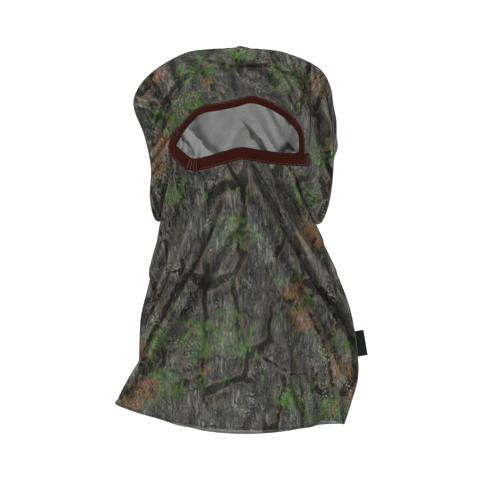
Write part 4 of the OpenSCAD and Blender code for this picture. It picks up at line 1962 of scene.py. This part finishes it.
    def build(self) -> None:
        """Make the tapes and everything sewn to them."""
        upper, lower = self.lines()
        f = self.finishes
        self.tape_piece("upper_binding_tape", self.folded("upper", upper, 0.10), f.tape,
                        ["upper_eye_binding"], self.ply)
        self.tape_piece("lower_band_tape", self.folded("lower", lower, 0.16), f.tape,
                        ["lower_eye_band"], self.ply)
        lap = lower.part(*self.lap)
        self.tape_piece("lower_band_lap", self.strip("lap", lap, (0.02, 0.25, 0.5, 0.75, 0.98), 1.45), f.tape,
                        [], self.ply)
        inner = lower.part(4.0, lower.run()[-1] - self.tail - 6.0)
        self.tape_piece("upper_elastic", self.strip("elastic", upper, (0.15, 0.5, 0.8), -0.25), f.elastic,
                        ["upper_binding_elastic"], 0.25)
        self.tape_piece("lower_elastic", self.strip("elastic", inner, (0.12, 0.5, 0.85), -0.25), f.elastic,
                        ["lower_band_elastic"], 0.25)
        self.sewn("upper_topstitch", self.stitches("row", upper, 0.80, 1.08), "upper_binding_topstitch")
        self.sewn("lower_topstitch", self.stitches("row", lower, 0.88, 1.03), "lower_band_topstitch")
        corner = lower.part(1.0, 7.0)
        bars = [self.bar(lower, place, 0.08, 0.94, 1.85) for place in np.linspace(*self.lap, 6)[1:-1]]
        left = [self.zigzag(corner, 0.1, 0.9, 1.15, 0.7), *bars]
        self.sewn("left_bartack", joined("left", left), "left_corner_bartack")
        end = lower.run()[-1]
        box = [self.bar(lower, end - inset, 0.08, 0.92, 1.2) for inset in (1.6, 6.0)]
        box.append(self.zigzag(lower.part(end - 13.5, end - 10.0), 0.12, 0.9, 1.2, 0.7))
        self.sewn("tail_bartack", joined("tail", box), "right_tail_bartack")


# ---------------------------------------------------------------- seams, hem and label


@dataclass
class Overlock:
    """Overlocked seams along the crown and sides, and the overlocked hem."""

    drape: Drape
    finishes: Finishes
    core: float = 0.55
    coil: float = 0.85
    coil_step: float = 0.33
    coil_points: int = 7
    thread: float = 0.2
    pitch: float = 2.3
    hem_reach: float = 3.2
    hem_length: float = 330.0

    def seam(self, start: float, end: float, hand: Hand) -> np.ndarray:
        """Fine chain of worn places along a seam."""
        run = np.linspace(start, end, round(abs(end - start) / 1.5) + 1)
        return self.drape.surfaces[Side.FACE].lift(self.drape.cut.seam_point(run, hand))[0]

    def cord(self, name: str, path: np.ndarray) -> bpy.types.Mesh:
        """Seam cord: a rolled core and the thread coiled round it.

        Args:
            name: the mesh's name.
            path: the line of the seam.

        Returns:
            The cord.
        """
        path = blurred(path, 2, closed=False)
        length = float(np.linalg.norm(np.diff(path, axis=0), axis=1).sum())
        even = spaced(path, round(length / self.coil_step))
        points, _ = tube_grid(even, 1.0, self.coil_points)
        turn = np.arange(len(even)) % self.coil_points
        around = points[np.arange(len(even)), turn] - even
        wrapped = even + around * self.coil
        return joined(name, [thread_mesh(name, path, self.core), thread_mesh(name, wrapped, self.thread, 4)])

    def hem_side(self, side: Side) -> list[bpy.types.Mesh]:
        """Threads that wrap one panel's hem: the loops, and the needle line on the outside.

        Args:
            side: which panel.

        Returns:
            The loops' mesh and the needle line's mesh.
        """
        face = self.drape.surfaces[side]
        count = round(self.hem_length / self.pitch)
        share = np.linspace(0.004, 0.996, count * 8 + 1)
        phase = np.arange(len(share)) % 8
        depth = np.array([-0.35, 0.9, self.hem_reach, 0.9, -0.35, 0.9, self.hem_reach - 0.4, 0.9])[phase]
        height = np.array([0.0, 0.42, 0.36, 0.42, 0.0, -0.42, -0.36, -0.42])[phase]
        flat = self.drape.cut.hem_point(share, side)
        inner, off = face.lift(flat - np.c_[np.zeros(len(flat)), np.maximum(depth, 0.01)])
        rim, _ = face.lift(flat)
        down = unit(rim - face.lift(flat - (0, 2.0))[0])
        spine = inner + off * height[:, None] + down * np.maximum(-depth, 0)[:, None]
        needle, _ = face.lift(self.drape.cut.hem_point(share[::3], side) - (0, self.hem_reach), 0.3)
        return [thread_mesh("loops", spine, self.thread, 4), thread_mesh("needle", needle, self.thread, 4)]

    def sewn(self, name: str, mesh: bpy.types.Mesh, node: str) -> None:
        """Put stitching of seam thread in place of a CAD node."""
        add_object(name, mesh, [self.finishes.seam_thread], replaces=[node])

    def build(self) -> None:
        """Make every seam and the hem."""
        cut = self.drape.cut
        left, right = self.seam(cut.crown_half, 0.5, Hand.LEFT), self.seam(0, cut.crown_half, Hand.RIGHT)
        self.sewn("crown_seam", self.cord("crown", np.vstack([left, right])), "crown_seam_thread")
        for hand, word in ((Hand.LEFT, "left"), (Hand.RIGHT, "right")):
            path = self.seam(cut.crown_half, cut.seam_length - 0.5, hand)
            self.sewn(word + "_side_seam", self.cord(word, path), word + "_side_seam_thread")
        threads = self.hem_side(Side.FACE) + self.hem_side(Side.BACK)
        self.sewn("hem_overlock", joined("hem", threads), "hem_overlock_thread")


@dataclass
class SideLabel:
    """Blank woven label, folded end to end and caught in the right side seam."""

    finishes: Finishes
    hinge: tuple[float, float, float] = (126.531, 1.28, -319.292)
    lean: tuple[float, float, float] = (-0.16684, 0.0, 0.98598)
    tuck: float = 3.5
    reach: float = 8.2
    height: float = 28.0
    gap: float = 0.32
    ply: float = 0.3

    def build(self) -> None:
        """Make the label, folded and leaning out of the right side seam."""
        up = np.array(self.lean)
        out = unit(np.cross((0, 1, 0), up))
        front = np.array((0.0, -1.0, 0.0))
        profile = [(x, self.gap + 0.25 * math.sin(math.pi * max(x, 0) / self.reach))
                   for x in np.linspace(-self.tuck, self.reach - 0.6, 9)]
        profile += [(self.reach - 0.6 + 0.6 * math.sin(a), self.gap * math.cos(a))
                    for a in np.linspace(0.4, math.pi - 0.4, 5)]
        profile += [(x, -self.gap - 0.12 * math.sin(math.pi * max(x, 0) / self.reach))
                    for x in np.linspace(self.reach - 0.6, -self.tuck, 9)]
        tall = np.linspace(-self.height / 2, self.height / 2, 15)
        wave = 0.35 * np.sin(tall / 5.5)
        rows = [[np.array(self.hinge) + out * x + up * z + front * (y + w * max(x, 0) / self.reach)
                 for x, y in profile] for z, w in zip(tall, wave)]
        steps = np.array([p[0] for p in profile])
        across = np.r_[0, np.cumsum(np.abs(np.diff(steps)) + 0.05)]
        flat = np.stack(np.broadcast_arrays(tall[:, None], across[None, :]), axis=2) * MM
        piece = add_object("side_label_ribbon", cloth_grid("label", np.array(rows), flat),
                           [self.finishes.ribbon], body="", replaces=["side_label"])
        solidified(subdivided(piece), self.ply)
        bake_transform(piece)


# ---------------------------------------------------------------- studio


@dataclass
class Studio:
    """Camera, lights, pale surroundings and a pale floor well below the mask."""

    finishes: Finishes
    aim: tuple[float, float, float] = (-0.0011, 0.0, -0.2074)
    distance: float = 4.32
    lens: float = 300.0
    floor: float = -0.62
    reach: float = 2.3
    surroundings: float = 1.3

    def camera(self) -> None:
        """Level long-lens camera in front of the face."""
        data = bpy.data.cameras.new("camera")
        data.lens, data.sensor_width = self.lens, 36
        camera = linked("camera", data)
        camera.location = Vector(self.aim) - Vector((0, self.distance, 0))
        camera.rotation_euler = (math.pi / 2, 0, 0)
        bpy.context.scene.camera = camera
        bpy.context.scene.view_settings.view_transform = "Standard"

    def light(self, name: str, place: tuple[float, float, float], power: float, size: float) -> None:
        """Square soft light aimed at the mask.

        Args:
            name: the light's name.
            place: where it stands.
            power: in watts.
            size: length of its side.
        """
        data = bpy.data.lights.new(name, "AREA")
        data.energy, data.size = power, size
        lamp = linked(name, data)
        lamp.location = place
        aim = Vector(self.aim) - Vector(place)
        lamp.rotation_euler = aim.to_track_quat("-Z", "Y").to_euler()

    def ground(self) -> None:
        """Round pale floor, low enough and small enough to stay below the front view."""
        shape = bmesh.new()
        bmesh.ops.create_circle(shape, cap_ends=True, segments=96, radius=self.reach,
                                matrix=Matrix.Translation((0, 0, self.floor)))
        mesh = mesh_from(shape, "floor")
        mesh.materials.append(self.finishes.paper)
        linked("floor", mesh)

    def world(self) -> None:
        """Even white surroundings."""
        world = bpy.data.worlds.new("studio")
        bpy.context.scene.world = world
        world.use_nodes = True
        sky = world.node_tree.nodes["Background"]
        sky.inputs["Color"].default_value = (1, 1, 1, 1)
        sky.inputs["Strength"].default_value = self.surroundings

    def build(self) -> None:
        """Set up the studio."""
        self.camera()
        self.light("key", (-0.9, -1.3, 0.8), 21.0, 0.7)
        self.light("fill", (1.2, -1.1, 0.2), 5.0, 0.7)
        self.ground()
        self.world()


def main() -> None:
    """Build the mask in order."""
    logging.basicConfig(level=logging.INFO, format="%(message)s")
    finishes = Finishes()
    Studio(finishes).build()
    drape = Drape(PanelCut())
    drape.settle()
    panels = ClothPanels(drape, finishes)
    panels.build(Side.FACE, "front_panel")
    panels.build(Side.BACK, "back_panel")
    EyeTapes(drape, finishes).build()
    Overlock(drape, finishes).build()
    SideLabel(finishes).build()


if __name__ == "__main__":
    main()
